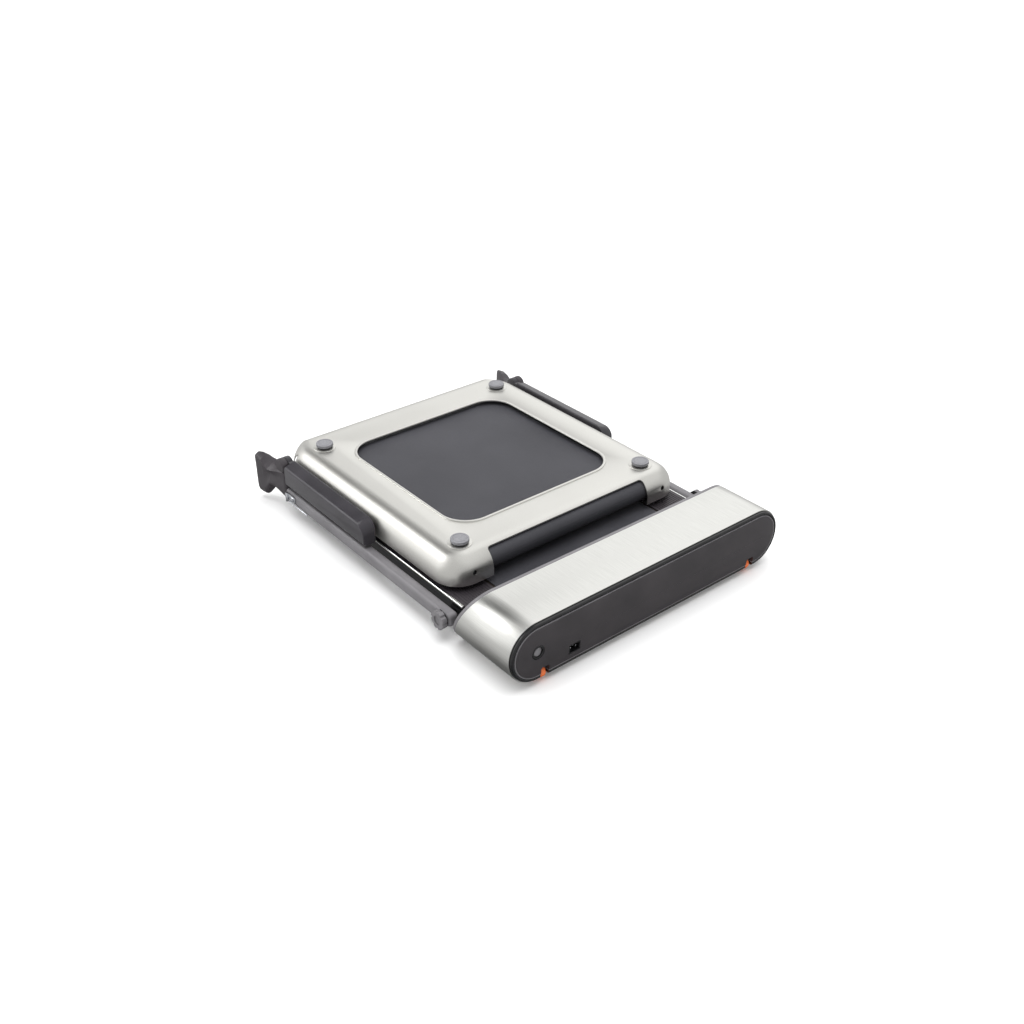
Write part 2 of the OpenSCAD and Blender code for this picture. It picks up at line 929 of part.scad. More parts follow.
// Round rubber feet, which carry the rear half when it is unfolded.
module rear_feet() {
    dome_h = 2;
    color(grey)
    for (side = [-1, 1], y = rear_foot_places())
        translate([side * (belt_x + 25), y, pan_top]) {
            cylinder(r = foot_r, h = foot_proud - dome_h);
            translate([0, 0, foot_proud - dome_h])
                cylinder(r1 = foot_r, r2 = foot_r - 3, h = dome_h);
        }
}

// Long steel tubes of the rear half.
module rear_side_tubes() {
    color(darker)
    flipped() both_sides() tube_y(
        rear_tube_x0, rear_tube_x0 + tube_w, rear_roller_y + 34, deck_end - 4, tube_z, rail_z
    );
}

// Steel tubes across the rear half, and a round bar that guides the returning belt.
module rear_cross_tubes() {
    y0 = rear_roller_y + 80;
    bar_end = hinge_x0 - play - hinge_plate_t;
    color(darker)
    flipped() {
        for (y = [y0, (y0 + last_cross_y) / 2, last_cross_y])
            cross_tube(rear_tube_x0, y, board_top - board_t);
        bar_x(-bar_end, bar_end, guide_y, guide_z, guide_r);
    }
}

// Board of the rear half.
module rear_deck_board() {
    color([0.45, 0.33, 0.22])
    flipped() block(
        -board_x, board_x, rear_roller_y + roller_r + 6, board_end,
        board_top - board_t, board_top
    );
}

// Ribbed rails of the rear half, which face down when folded.
module rear_foot_rails() {
    color(dark)
    flipped() both_sides() along_y(rear_roller_y + 30, deck_end) rail_section();
}

// Caps beside the rear roller, inside the cover's round corners.
module rear_end_caps() {
    color(dark)
    intersection() {
        flipped() both_sides() block(
            belt_x + 13, rail_x1, rear_y, rear_roller_y + 29, rail_z + play, belt_z
        );
        along_z(0, folded_h) pan_plan(pan_wall + play);
    }
}

// Belt along the rear half, round the rear roller.
module rear_belt() {
    color(belt_colour)
    flipped() along_x(-belt_x, belt_x) belt_loop(rear_roller_y);
}

// Rear roller, which turns freely in its blocks.
module rear_roller() {
    color(steel)
    flipped() roller_drum(rear_roller_y, roller_z, tube_x0 - 15);
}

// Blocks that hold the rear roller's axle and take the tension screws.
module rear_roller_blocks() {
    x0 = tube_x0 - 22;
    x1 = tube_x0 + 8;
    color(grey)
    flipped() both_sides() difference() {
        block(
            x0, x1, rear_roller_y - 18, rear_roller_y + 34, tube_z + 8, rail_z
        );
        bar_x(x0 - 1, tube_x0 - 14, rear_roller_y, roller_z, 8 + fit);
        bar_y(tube_x0 - 7, rear_y, rear_roller_y + 15, roller_z, 3 + fit);
    }
}

// Hexagon screws that set the belt's tension.
module belt_tension_screws() {
    color(steel)
    flipped() both_sides() union() {
        bar_y(tube_x0 - 7, rear_y + 8, rear_roller_y + 14, roller_z, 3);
        bar_y(tube_x0 - 7, rear_y + 7, rear_roller_y - 18 - end_play, roller_z, 5, $fn = 6);
    }
}

// ---- handrails -----------------------------------------------------------------------

// Cross-section of the post, smaller by an inset.
module post_section(inset) {
    round_rect(
        post_x0 + inset, pivot_z - post_h / 2 + inset, post_x1 - inset,
        pivot_z + post_h / 2 - inset, 12 - inset
    );
}

// Handrail post: a tube with a round pivot end.
module post(side) {
    color(grey)
    on_side(side) difference() {
        union() {
            bar_x(post_x0, post_x1, pivot_y, pivot_z, post_h / 2);
            along_y(pivot_y, post_end) post_section(0);
        }
        along_y(pivot_y + 40, post_end + 1) post_section(2.5);
        bar_x(post_x0 - 1, post_x1 + 1, pivot_y, pivot_z, stud_r);
    }
}

module left_post() {
    post(-1);
}

module right_post() {
    post(1);
}

// Side view of the end block, from the post's end to the flared tail.
module block_side() {
    low = pivot_z - post_h / 2 - 2;
    polygon([
        [post_end, low + 8], [post_end + 8, low + 1], [post_end + 52, low + 15],
        [post_end + 66, low + 8], [post_end + 78, low - 12], [tail_end - 24, low - 19],
        [tail_end - 8, low - 20], [tail_end - 3, low - 8], [tail_end, block_top - 40],
        [tail_end - 1, block_top - 27], [tail_end - 8, block_top - 20],
        [tail_end - 20, block_top - 18], [tail_end - 36, block_top - 21],
        [tail_end - 52, block_top - 24], [knuckle_y + 24, block_top - 20],
        [knuckle_y + 12, knuckle_z + 8], [knuckle_y, knuckle_z], [post_end, knuckle_z],
    ]);
}

// Plan of the end block, whose tail swings outward.
module block_plan() {
    out = post_x1 + flare;
    polygon([
        [post_x0, post_end], [post_x1, post_end], [post_x1 + 3, post_end + 18],
        [post_x1 + 8, post_end + 44], [out - 1, post_end + 66], [out, post_end + 84],
        [out - 1, tail_end - 8], [out - 4, tail_end], [post_x1 - 4, tail_end],
        [post_x0 + 14, tail_end - 14], [post_x0 + 4, tail_end - 40], [post_x0, tail_end - 56],
    ]);
}

// End block: plugs into the post, carries the grip's knuckle and ends in a flared tail.
module end_block(side) {
    color(dark)
    on_side(side) difference() {
        union() {
            intersection() {
                along_x(post_x0, post_x1 + flare) block_side();
                along_z(0, folded_h) block_plan();
            }
            along_y(post_end - 26, post_end + 1) post_section(2.7);
            bar_x(knuckle_mid + play, post_x1, knuckle_y, knuckle_z, knuckle_r);
        }
        // room for the grip's own knuckle, on the inner side
        bar_x(post_x0 - 1, knuckle_mid + play, knuckle_y, knuckle_z, knuckle_r + 1);
        block(
            post_x0 - 1, knuckle_mid + play, post_end - 1, knuckle_y, knuckle_z - 22, folded_h
        );
        bar_x(post_x0 - 1, post_x1 + 1, knuckle_y, knuckle_z, grip_pin_r);
    }
}

module left_end_block() {
    end_block(-1);
}

module right_end_block() {
    end_block(1);
}

// Cross-section of the grip: a tall oval whose outer top edge slopes down.
module grip_section() {
    top = grip_z + grip_h;
    difference() {
        round_rect(post_x0, grip_z, post_x1, top, 11);
        polygon([
            [post_x0 + 9, top + 5], [post_x0 + 9, top], [post_x1, top - 22],
            [post_x1 + 5, top - 22], [post_x1 + 5, top + 5],
        ]);
    }
}

// Grip arm, folded along the post, with a knuckle at the end block.
module grip(side) {
    color(dark)
    on_side(side) difference() {
        union() {
            intersection() {
                along_y(grip_y, post_end - 1) grip_section();
                along_x(0, wide) round_rect(
                    grip_y, grip_z, post_end + 60, grip_z + grip_h, 22
                );
            }
            bar_x(post_x0, knuckle_mid, knuckle_y, knuckle_z, knuckle_r);
            block(
                post_x0, knuckle_mid, post_end - 2, knuckle_y, knuckle_z - 16, knuckle_z + 12
            );
        }
        bar_x(post_x0 - 1, post_x1, knuckle_y, knuckle_z, grip_pin_r + fit);
    }
}

module left_grip() {
    grip(-1);
}

module right_grip() {
    grip(1);
}

// Pin through the grip's knuckle, fast in the end block.
module grip_pin(side) {
    color(steel)
    on_side(side) bar_x(
        post_x0 + 1, post_x1 - 1, knuckle_y, knuckle_z, grip_pin_r
    );
}

module left_grip_pin() {
    grip_pin(-1);
}

module right_grip_pin() {
    grip_pin(1);
}

// Bright catch lever on the outer face of the post, hinged on an upright pin.
module latch(side) {
    lever_t = 2.5;
    lever_l = 85;
    color([0.85, 0.86, 0.88])
    on_side(side) union() {
        block(
            post_x1 + play, post_x1 + play + lever_t, post_end - 8 - lever_l, post_end - 8,
            pivot_z - 11, pivot_z + 11
        );
        translate([post_x1 + play + 3.5, post_end - 8, pivot_z - 11]) cylinder(r = 3.4, h = 22);
    }
}

module left_latch() {
    latch(-1);
}

module right_latch() {
    latch(1);
}

// Lobed knob on its stud, which clamps the handrail's pivot.
module knob(side) {
    lobes = 8;
    color(darker)
    on_side(side) union() {
        difference() {
            bar_x(knob_x, knob_x + knob_t, pivot_y, pivot_z, knob_r);
            for (i = [1:lobes]) translate([0, pivot_y, pivot_z]) rotate([i * 360 / lobes, 0, 0])
                bar_x(knob_x - 1, knob_x + knob_t + 1, knob_r + 2, 0, 4.5);
        }
        bar_x(post_x1 + end_play, knob_x + 1, pivot_y, pivot_z, 11);
        bar_x(tube_x1 + 2, knob_x + 1, pivot_y, pivot_z, stud_r - fit);
    }
}

module left_knob() {
    knob(-1);
}

module right_knob() {
    knob(1);
}

// ---- assembly ------------------------------------------------------------------------

// Moves the machine so that the origin is under its middle.
module placed() {
    translate([0, -mid_y, 0]) children();
}

placed() hood_cover();
placed() front_bezel();
placed() front_panel();
placed() hood_rear_bezel();
placed() hood_rear_panel();
placed() display_window();
placed() display_board();
placed() base_tray();
placed() base_side_tubes();
placed() base_cross_tubes();
placed() front_deck_board();
placed() front_deck_cushions();
placed() front_foot_rails();
placed() front_rail_trims();
placed() motor();
placed() motor_bracket();
placed() motor_rotor();
placed() drive_belt();
placed() motor_controller();
placed() power_inlet();
placed() power_switch_housing();
placed() power_switch_rocker();
placed() drive_roller();
placed() drive_pulley();
placed() drive_roller_blocks();
placed() front_belt();
placed() belt_fold_inner();
placed() belt_fold_outer();
placed() front_hinge_plates();
placed() hinge_pins();
placed() base_feet();
placed() left_wheel();
placed() right_wheel();
placed() wheel_forks();
placed() pivot_brackets();
placed() rear_cover();
placed() rear_side_tubes();
placed() rear_cross_tubes();
placed() rear_deck_board();
placed() rear_foot_rails();
placed() rear_end_caps();
placed() rear_belt();
placed() rear_roller();
placed() rear_roller_blocks();
placed() belt_tension_screws();
placed() rear_hinge_plates();
placed() rear_feet();
placed() left_post();
placed() right_post();
placed() left_end_block();
placed() right_end_block();
placed() left_grip();
placed() right_grip();
placed() left_grip_pin();
placed() right_grip_pin();
placed() left_latch();
placed() right_latch();
placed() left_knob();
placed() right_knob();
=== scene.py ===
"""A folding walking treadmill, shown folded: the looks built round its CAD frame. Metres."""

from math import cos, pi, radians, sin, tan

import bmesh
import bpy
from mathutils import Matrix, Vector


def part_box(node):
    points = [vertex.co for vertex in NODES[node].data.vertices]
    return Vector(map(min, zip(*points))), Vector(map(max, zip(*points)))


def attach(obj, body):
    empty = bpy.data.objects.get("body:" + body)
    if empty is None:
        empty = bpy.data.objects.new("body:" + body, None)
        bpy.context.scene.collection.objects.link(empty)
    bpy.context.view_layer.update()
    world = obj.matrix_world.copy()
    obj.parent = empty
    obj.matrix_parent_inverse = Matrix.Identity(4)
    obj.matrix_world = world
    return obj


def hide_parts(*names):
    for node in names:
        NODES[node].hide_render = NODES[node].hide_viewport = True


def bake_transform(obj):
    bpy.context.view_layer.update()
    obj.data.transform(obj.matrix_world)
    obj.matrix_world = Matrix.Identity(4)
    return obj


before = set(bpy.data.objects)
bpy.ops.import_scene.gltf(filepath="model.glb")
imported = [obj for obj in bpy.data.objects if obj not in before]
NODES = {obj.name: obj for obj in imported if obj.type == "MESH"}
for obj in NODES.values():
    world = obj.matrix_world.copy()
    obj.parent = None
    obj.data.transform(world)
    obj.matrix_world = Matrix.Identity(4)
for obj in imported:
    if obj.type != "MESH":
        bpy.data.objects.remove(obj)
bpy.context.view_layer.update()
MM = 0.001
# A Wave texture at scale 1 runs through 20 radians a metre.
WAVE_RADIANS = 20

# ---- sizes taken from the frame --------------------------------------------------------

HOOD_LOW, HOOD_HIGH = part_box("hood_cover")
COVER_LOW, COVER_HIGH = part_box("rear_cover")
FEET_LOW, FEET_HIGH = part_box("rear_feet")
BELT_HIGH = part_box("front_belt")[1]
TRIM_LOW, TRIM_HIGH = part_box("front_rail_trims")
FOLD_LOW, FOLD_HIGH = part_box("belt_fold_inner")
POST_LOW, POST_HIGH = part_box("right_post")
GRIP_LOW, GRIP_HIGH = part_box("right_grip")
BLOCK_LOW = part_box("right_end_block")[0]
KNOB_LOW, KNOB_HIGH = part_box("right_knob")
LATCH_LOW, LATCH_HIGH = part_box("right_latch")
WHEEL_LOW, WHEEL_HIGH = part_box("right_wheel")
INLET_LOW, INLET_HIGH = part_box("power_inlet")
SWITCH_LOW, SWITCH_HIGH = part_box("power_switch_housing")

FOLD_AXIS = Vector((0, FOLD_LOW.y, (FOLD_LOW.z + FOLD_HIGH.z) / 2))
PIVOT = Vector((POST_HIGH.x, (KNOB_LOW.y + KNOB_HIGH.y) / 2, (KNOB_LOW.z + KNOB_HIGH.z) / 2))

# ---- materials -------------------------------------------------------------------------


def linear(hex_colour):
    """An sRGB hex colour as linear RGBA."""
    parts = [int(hex_colour[i:i + 2], 16) / 255 for i in (1, 3, 5)]
    return [c / 12.92 if c <= 0.04045 else ((c + 0.055) / 1.055) ** 2.4 for c in parts] + [1]


def add(tree, kind, inputs=None, **settings):
    """Adds a node. Each input is a value, or another node's output to link."""
    made = tree.nodes.new(kind)
    for name, value in settings.items():
        setattr(made, name, value)
    for socket, value in (inputs or {}).items():
        if isinstance(value, bpy.types.NodeSocket):
            tree.links.new(value, made.inputs[socket])
        else:
            made.inputs[socket].default_value = value
    return made


def start(name, roughness, metallic=0.0, **sockets):
    """A new material: its node tree, its shader and the Object coordinates."""
    material = bpy.data.materials.new(name)
    material.use_nodes = True
    tree = material.node_tree
    shader = tree.nodes["Principled BSDF"]
    shader.inputs["Roughness"].default_value = roughness
    shader.inputs["Metallic"].default_value = metallic
    for socket, value in sockets.items():
        shader.inputs[socket.replace("_", " ")].default_value = value
    place = add(tree, "ShaderNodeTexCoord").outputs["Object"]
    return material, tree, shader, place


def tint(tree, shader, driver, low, high, start_at=0.3, end_at=0.7):
    """Colours the shader between two hex colours by a pattern's value."""
    ramp = add(tree, "ShaderNodeValToRGB", {"Fac": driver})
    ramp.color_ramp.elements[0].position = start_at
    ramp.color_ramp.elements[1].position = end_at
    ramp.color_ramp.elements[0].color = linear(low)
    ramp.color_ramp.elements[1].color = linear(high)
    tree.links.new(ramp.outputs["Color"], shader.inputs["Base Color"])


def relief(tree, shader, height, depth, strength=1.0):
    """Raises the surface by a pattern, to a depth in metres."""
    bump = add(tree, "ShaderNodeBump", {"Height": height, "Distance": depth, "Strength": strength})
    tree.links.new(bump.outputs["Normal"], shader.inputs["Normal"])


def vary(tree, shader, driver, low, high):
    """Varies the roughness between two values by a pattern."""
    span = add(tree, "ShaderNodeMapRange", {"Value": driver, "To Min": low, "To Max": high})
    tree.links.new(span.outputs["Result"], shader.inputs["Roughness"])


def brushed_aluminium():
    """Aluminium sheet brushed along the machine: fine streaks that smear highlights."""
    material, tree, shader, place = start("brushed_aluminium", 0.30, 1.0)
    # streaks 0.8 mm apart, drawn coarse enough to show, and about 65 times as long
    stretched = add(tree, "ShaderNodeMapping", {"Vector": place, "Scale": (1200, 18, 1200)})
    streaks = add(
        tree, "ShaderNodeTexNoise",
        {"Vector": stretched.outputs["Vector"], "Scale": 1.0, "Detail": 4.0, "Roughness": 0.6},
    )
    tint(tree, shader, streaks.outputs["Fac"], "#D4D4D0", "#E8E8E4")
    vary(tree, shader, streaks.outputs["Fac"], 0.26, 0.38)
    relief(tree, shader, streaks.outputs["Fac"], 0.00002)
    return material


def bead_blasted_aluminium():
    """Blasted and clear anodised aluminium: a warm silver with a fine even sparkle."""
    material, tree, shader, place = start("bead_blasted_aluminium", 0.36, 1.0)
    grain = add(
        tree, "ShaderNodeTexNoise", {"Vector": place, "Scale": 900.0, "Detail": 3.0}
    )
    clouds = add(tree, "ShaderNodeTexNoise", {"Vector": place, "Scale": 9.0, "Detail": 2.0})
    tint(tree, shader, grain.outputs["Fac"], "#DAD9D4", "#E8E7E2")
    vary(tree, shader, clouds.outputs["Fac"], 0.32, 0.42)
    relief(tree, shader, grain.outputs["Fac"], 0.00004)
    return material


def moulded_abs(name, low, high, roughness):
    """Moulded ABS with a spark-eroded grain: matt, with a faint broken sheen."""
    material, tree, shader, place = start(name, roughness, IOR=1.53)
    grain = add(tree, "ShaderNodeTexNoise", {"Vector": place, "Scale": 1400.0, "Detail": 2.0})
    wear = add(tree, "ShaderNodeTexNoise", {"Vector": place, "Scale": 14.0, "Detail": 4.0})
    tint(tree, shader, wear.outputs["Fac"], low, high)
    vary(tree, shader, wear.outputs["Fac"], roughness - 0.06, roughness + 0.06)
    relief(tree, shader, grain.outputs["Fac"], 0.00006)
    return material


def polished_abs(name, colour):
    """Glossy injection-moulded ABS, almost black, with a faint ripple in its gloss."""
    material, tree, shader, place = start(name, 0.12, IOR=1.53)
    ripple = add(tree, "ShaderNodeTexNoise", {"Vector": place, "Scale": 40.0, "Detail": 2.0})
    tint(tree, shader, ripple.outputs["Fac"], colour, "#1B1B1D")
    vary(tree, shader, ripple.outputs["Fac"], 0.08, 0.2)
    return material


def soft_touch_tpe():
    """Soft-touch elastomer over a hard core: satin, slightly dusty at grazing angles."""
    material, tree, shader, place = start("soft_touch_tpe", 0.46, IOR=1.5, Sheen_Weight=0.15)
    grain = add(tree, "ShaderNodeTexNoise", {"Vector": place, "Scale": 1100.0, "Detail": 2.0})
    wear = add(tree, "ShaderNodeTexNoise", {"Vector": place, "Scale": 18.0, "Detail": 3.0})
    tint(tree, shader, wear.outputs["Fac"], "#242227", "#302D33")
    vary(tree, shader, wear.outputs["Fac"], 0.27, 0.38)
    relief(tree, shader, grain.outputs["Fac"], 0.00005)
    return material


def woven_belt(name, low, high):
    """PVC running belt with a pressed weave: fine crossed ribs with a dull rubbery shine."""
    material, tree, shader, place = start(name, 0.55, IOR=1.52)
    # ribs 1.6 mm apart, twice the real spacing, so that they show
    pitch = 1.6 * MM
    along, across = [
        add(
            tree, "ShaderNodeTexWave",
            {"Vector": place, "Scale": 2 * pi / pitch / WAVE_RADIANS, "Distortion": 0.0},
            bands_direction=direction,
        )
        for direction in "XY"
    ]
    weave = add(
        tree, "ShaderNodeMath",
        {0: along.outputs["Fac"], 1: across.outputs["Fac"]}, operation="MULTIPLY",
    )
    dust = add(tree, "ShaderNodeTexNoise", {"Vector": place, "Scale": 6.0, "Detail": 5.0})
    tint(tree, shader, dust.outputs["Fac"], low, high)
    vary(tree, shader, dust.outputs["Fac"], 0.5, 0.64)
    relief(tree, shader, weave.outputs["Value"], 0.0003)
    return material


def rubber(name, low, high, roughness=0.7):
    """Moulded rubber: dull, with a fine grain and paler where it has been handled."""
    material, tree, shader, place = start(name, roughness, IOR=1.52)
    grain = add(tree, "ShaderNodeTexNoise", {"Vector": place, "Scale": 700.0, "Detail": 3.0})
    tint(tree, shader, grain.outputs["Fac"], low, high)
    relief(tree, shader, grain.outputs["Fac"], 0.0001)
    return material


def metal(name, low, high, roughness, scale=300.0):
    """Bare or plated metal with faint machining or handling marks."""
    material, tree, shader, place = start(name, roughness, 1.0)
    marks = add(tree, "ShaderNodeTexNoise", {"Vector": place, "Scale": scale, "Detail": 4.0})
    tint(tree, shader, marks.outputs["Fac"], low, high)
    vary(tree, shader, marks.outputs["Fac"], roughness * 0.8, roughness * 1.3)
    return material


def powder_coat():
    """Black powder coat on steel tube: slightly pebbled, semi-matt."""
    material, tree, shader, place = start("powder_coat", 0.5, IOR=1.5)
    pebbles = add(tree, "ShaderNodeTexVoronoi", {"Vector": place, "Scale": 900.0})
    tint(tree, shader, pebbles.outputs["Distance"], "#0C0C0E", "#161618")
    relief(tree, shader, pebbles.outputs["Distance"], 0.00008)
    return material


def fibreboard():
    """Black-stained fibreboard: felted, with faint brown fibres."""
    material, tree, shader, place = start("fibreboard", 0.8)
    fibres = add(tree, "ShaderNodeTexNoise", {"Vector": place, "Scale": 350.0, "Detail": 8.0})
    tint(tree, shader, fibres.outputs["Fac"], "#221D19", "#332B25")
    relief(tree, shader, fibres.outputs["Fac"], 0.0001)
    return material


def solder_mask():
    """Circuit board: green lacquer with faint tracks under it."""
    material, tree, shader, place = start("solder_mask", 0.3)
    tracks = add(tree, "ShaderNodeTexBrick", {"Vector": place, "Scale": 120.0})
    tint(tree, shader, tracks.outputs["Fac"], "#0F3D22", "#1C5B34")
    return material


BRUSHED = brushed_aluminium()
BLASTED = bead_blasted_aluminium()
DARK_ABS = moulded_abs("dark_moulded_abs", "#312D31", "#3C383C", 0.42)
BLACK_ABS = moulded_abs("black_moulded_abs", "#1C1B1D", "#262527", 0.46)
GREY_ABS = moulded_abs("grey_moulded_abs", "#6B696C", "#777578", 0.42)
POST_ABS = moulded_abs("post_moulded_abs", "#6C6A6D", "#7A787B", 0.40)
PANEL_ABS = moulded_abs("panel_moulded_abs", "#2C292C", "#373336", 0.40)
GLOSS_BLACK = polished_abs("polished_black_abs", "#0B0B0C")
TPE = soft_touch_tpe()
BELT = woven_belt("woven_belt_pvc", "#36363B", "#424247")
DRIVE_RUBBER = rubber("drive_belt_rubber", "#111112", "#1D1D1F")
FOOT_RUBBER = rubber("grey_foot_rubber", "#727276", "#939397", 0.55)
BLACK_RUBBER = rubber("black_rubber", "#161617", "#242426")
WHEEL_TPU = rubber("orange_wheel_tpu", "#E2662A", "#F07C3C", 0.5)
CHROME = metal("chrome_plate", "#D6D8DC", "#E4E6EA", 0.08, 60.0)
POLISHED = metal("polished_aluminium", "#E6E6E4", "#F2F2F0", 0.22, 200.0)
STEEL = metal("machined_steel", "#8D9094", "#A6A9AD", 0.3)
COATED = powder_coat()
MDF = fibreboard()
PCB = solder_mask()

NODE_MATERIALS = {
    BRUSHED: ["hood_cover", "front_rail_trims"],
    BLASTED: ["rear_cover"],
    BLACK_ABS: ["front_bezel", "hood_rear_panel", "drive_pulley"],
    DARK_ABS: [
        "front_foot_rails", "rear_foot_rails", "rear_end_caps",
        "left_end_block", "right_end_block",
    ],
    GREY_ABS: ["hood_rear_bezel", "drive_roller_blocks", "rear_roller_blocks"],
    PANEL_ABS: ["front_panel"],
    POST_ABS: ["left_post", "right_post", "left_knob", "right_knob"],
    GLOSS_BLACK: [
        "display_window", "power_inlet", "power_switch_housing", "power_switch_rocker",
    ],
    TPE: ["left_grip", "right_grip"],
    BELT: ["front_belt", "rear_belt", "belt_fold_inner", "belt_fold_outer"],
    DRIVE_RUBBER: ["drive_belt"],
    FOOT_RUBBER: ["rear_feet"],
    BLACK_RUBBER: ["front_deck_cushions", "base_feet"],
    WHEEL_TPU: ["left_wheel", "right_wheel"],
    CHROME: ["left_latch", "right_latch"],
    STEEL: [
        "motor_bracket", "motor_rotor", "motor_controller", "drive_roller", "rear_roller",
        "front_hinge_plates", "rear_hinge_plates", "hinge_pins", "wheel_forks",
        "belt_tension_screws", "left_grip_pin", "right_grip_pin",
    ],
    COATED: [
        "base_tray", "base_side_tubes", "base_cross_tubes", "rear_side_tubes",
        "rear_cross_tubes", "pivot_brackets", "motor",
    ],
    MDF: ["front_deck_board", "rear_deck_board"],
    PCB: ["display_board"],
}
for material, names in NODE_MATERIALS.items():
    for name in names:
        NODES[name].data.materials.clear()
        NODES[name].data.materials.append(material)

# ---- making pieces ---------------------------------------------------------------------


def face(points):
    """A flat face through some points."""
    bm = bmesh.new()
    bm.faces.new([bm.verts.new(p) for p in points])
    return bm


def round_corners(bm, verts, radius, segments=10):
    """Rounds corners of a flat face."""
    bmesh.ops.bevel(
        bm, geom=verts, offset=radius, affect="VERTICES", segments=segments, profile=0.5,
        material=-1,
    )


def near(bm, axis, value):
    """The points whose place along an axis is at a value."""
    return [v for v in bm.verts if abs(v.co[axis] - value) < 1e-5]


def draw_out(bm, vector):
    """Draws a flat face out into a solid."""
    made = bmesh.ops.extrude_face_region(bm, geom=bm.faces[:])
    moved = [v for v in made["geom"] if isinstance(v, bmesh.types.BMVert)]
    bmesh.ops.translate(bm, verts=moved, vec=vector)
    bmesh.ops.recalc_face_normals(bm, faces=bm.faces)


def sharp(bm, picked=lambda middle: True, least=35):
    """Edges that turn by more than an angle, chosen by where their middles are."""
    return [
        e for e in bm.edges
        if len(e.link_faces) == 2 and e.calc_face_angle() > radians(least)
        and picked((e.verts[0].co + e.verts[1].co) / 2)
    ]


def round_edges(bm, edges, radius, segments=3):
    """Rounds edges."""
    bmesh.ops.bevel(
        bm, geom=edges, offset=radius, affect="EDGES", segments=segments, profile=0.5,
        material=-1, clamp_overlap=True,
    )


def block(bm, low, high):
    """Adds a box between two corners and returns its points."""
    low, high = Vector(low), Vector(high)
    made = bmesh.ops.create_cube(bm, size=1)["verts"]
    bmesh.ops.scale(bm, verts=made, vec=high - low)
    bmesh.ops.translate(bm, verts=made, vec=(low + high) / 2)
    return made


def bar(bm, first, last, radius, segments=48, last_radius=None):
    """Adds a round bar between two points and returns its points."""
    first, last = Vector(first), Vector(last)
    made = bmesh.ops.create_cone(
        bm, cap_ends=True, segments=segments, radius1=radius,
        radius2=radius if last_radius is None else last_radius, depth=(last - first).length,
    )["verts"]
    turn = (last - first).to_track_quat("Z", "Y").to_matrix()
    bmesh.ops.rotate(bm, verts=made, cent=(0, 0, 0), matrix=turn)
    bmesh.ops.translate(bm, verts=made, vec=(first + last) / 2)
    return made


def rims(verts, direction):
    """The edges round the end of a bar that faces a direction."""
    aim = Vector(direction)
    faces = {f for v in verts for f in v.link_faces if f.normal.dot(aim) > 0.99}
    return list({e for f in faces for e in f.edges})


def cap(verts, direction):
    """The face that closes the end of a bar."""
    aim = Vector(direction)
    return [f for f in {f for v in verts for f in v.link_faces} if f.normal.dot(aim) > 0.99]


def to_object(bm, name):
    """Turns the mesh into an object, its faces pointing outwards."""
    bmesh.ops.remove_doubles(bm, verts=bm.verts, dist=1e-6)
    bmesh.ops.recalc_face_normals(bm, faces=bm.faces)
    mesh = bpy.data.meshes.new(name)
    bm.to_mesh(mesh)
    bm.free()
    obj = bpy.data.objects.new(name, mesh)
    bpy.context.collection.objects.link(obj)
    return obj


def settle(obj):
    """Makes an object's modifiers part of its mesh."""
    graph = bpy.context.evaluated_depsgraph_get()
    done = bpy.data.meshes.new_from_object(obj.evaluated_get(graph))
    obj.modifiers.clear()
    obj.data = done


def cut(obj, *cutters, solver="EXACT"):
    """Cuts other shapes out of an object and throws them away."""
    for cutter in cutters:
        hole = to_object(cutter, "cutter") if isinstance(cutter, bmesh.types.BMesh) else cutter
        step = obj.modifiers.new("cut", "BOOLEAN")
        step.operation = "DIFFERENCE"
        step.object = hole
        step.solver = solver
        settle(obj)
        bpy.data.objects.remove(hole)
    return obj


def finish(obj, body, material, replaced=(), angle=32, edge=0.0):
    """Gives a piece its edges, shading, finish and body."""
    if isinstance(obj, tuple):
        obj = to_object(*obj)
    if edge:
        rim = obj.modifiers.new("edge", "BEVEL")
        rim.width = edge
        rim.segments = 2
        rim.limit_method = "ANGLE"
        rim.angle_limit = radians(40)
        settle(obj)
    mesh = obj.data
    mesh.materials.clear()
    mesh.materials.append(material)
    mesh.polygons.foreach_set("use_smooth", [True] * len(mesh.polygons))
    mesh.set_sharp_from_angle(angle=radians(angle))
    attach(obj, body)
    if replaced:
        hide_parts(*replaced)
    return obj


def on_side(bm, side):
    """Mirrors a piece made on the right side to the left where side is -1."""
    if side < 0:
        bmesh.ops.scale(bm, verts=bm.verts, vec=(-1, 1, 1))
        bmesh.ops.reverse_faces(bm, faces=bm.faces)


SIDES = {"left": -1, "right": 1}

# ---- motor hood ------------------------------------------------------------------------

HOOD_R = 63.5 * MM
HOOD_TOP_DEPTH = 123 * MM
HOOD_SLOPE = radians(25)
SLEEVE_WALL = 2.5 * MM
SLOT_DEPTH, PANEL_SLOT_DEPTH = 50 * MM, 30 * MM


def hood_outline(inset, y):
    """The hood's rounded outline as a flat face across the machine."""
    x, low, high = HOOD_HIGH.x - inset, HOOD_LOW.z + inset, HOOD_HIGH.z - inset
    bm = face([(-x, y, low), (x, y, low), (x, y, high), (-x, y, high)])
    round_corners(bm, bm.verts[:], HOOD_R - inset, 24)
    return bm


def slice_off(bm, offset, keep_front=True):
    """Cuts a ring along the hood's sloping rear plane and closes the cut."""
    normal = Vector((0, cos(HOOD_SLOPE), sin(HOOD_SLOPE)))
    made = bmesh.ops.bisect_plane(
        bm, geom=bm.verts[:] + bm.edges[:] + bm.faces[:],
        plane_co=(0, HOOD_LOW.y + HOOD_TOP_DEPTH + offset, HOOD_HIGH.z), plane_no=normal,
        clear_outer=keep_front, clear_inner=not keep_front,
    )
    edges = [e for e in made["geom_cut"] if isinstance(e, bmesh.types.BMEdge)]
    bmesh.ops.bridge_loops(bm, edges=edges)


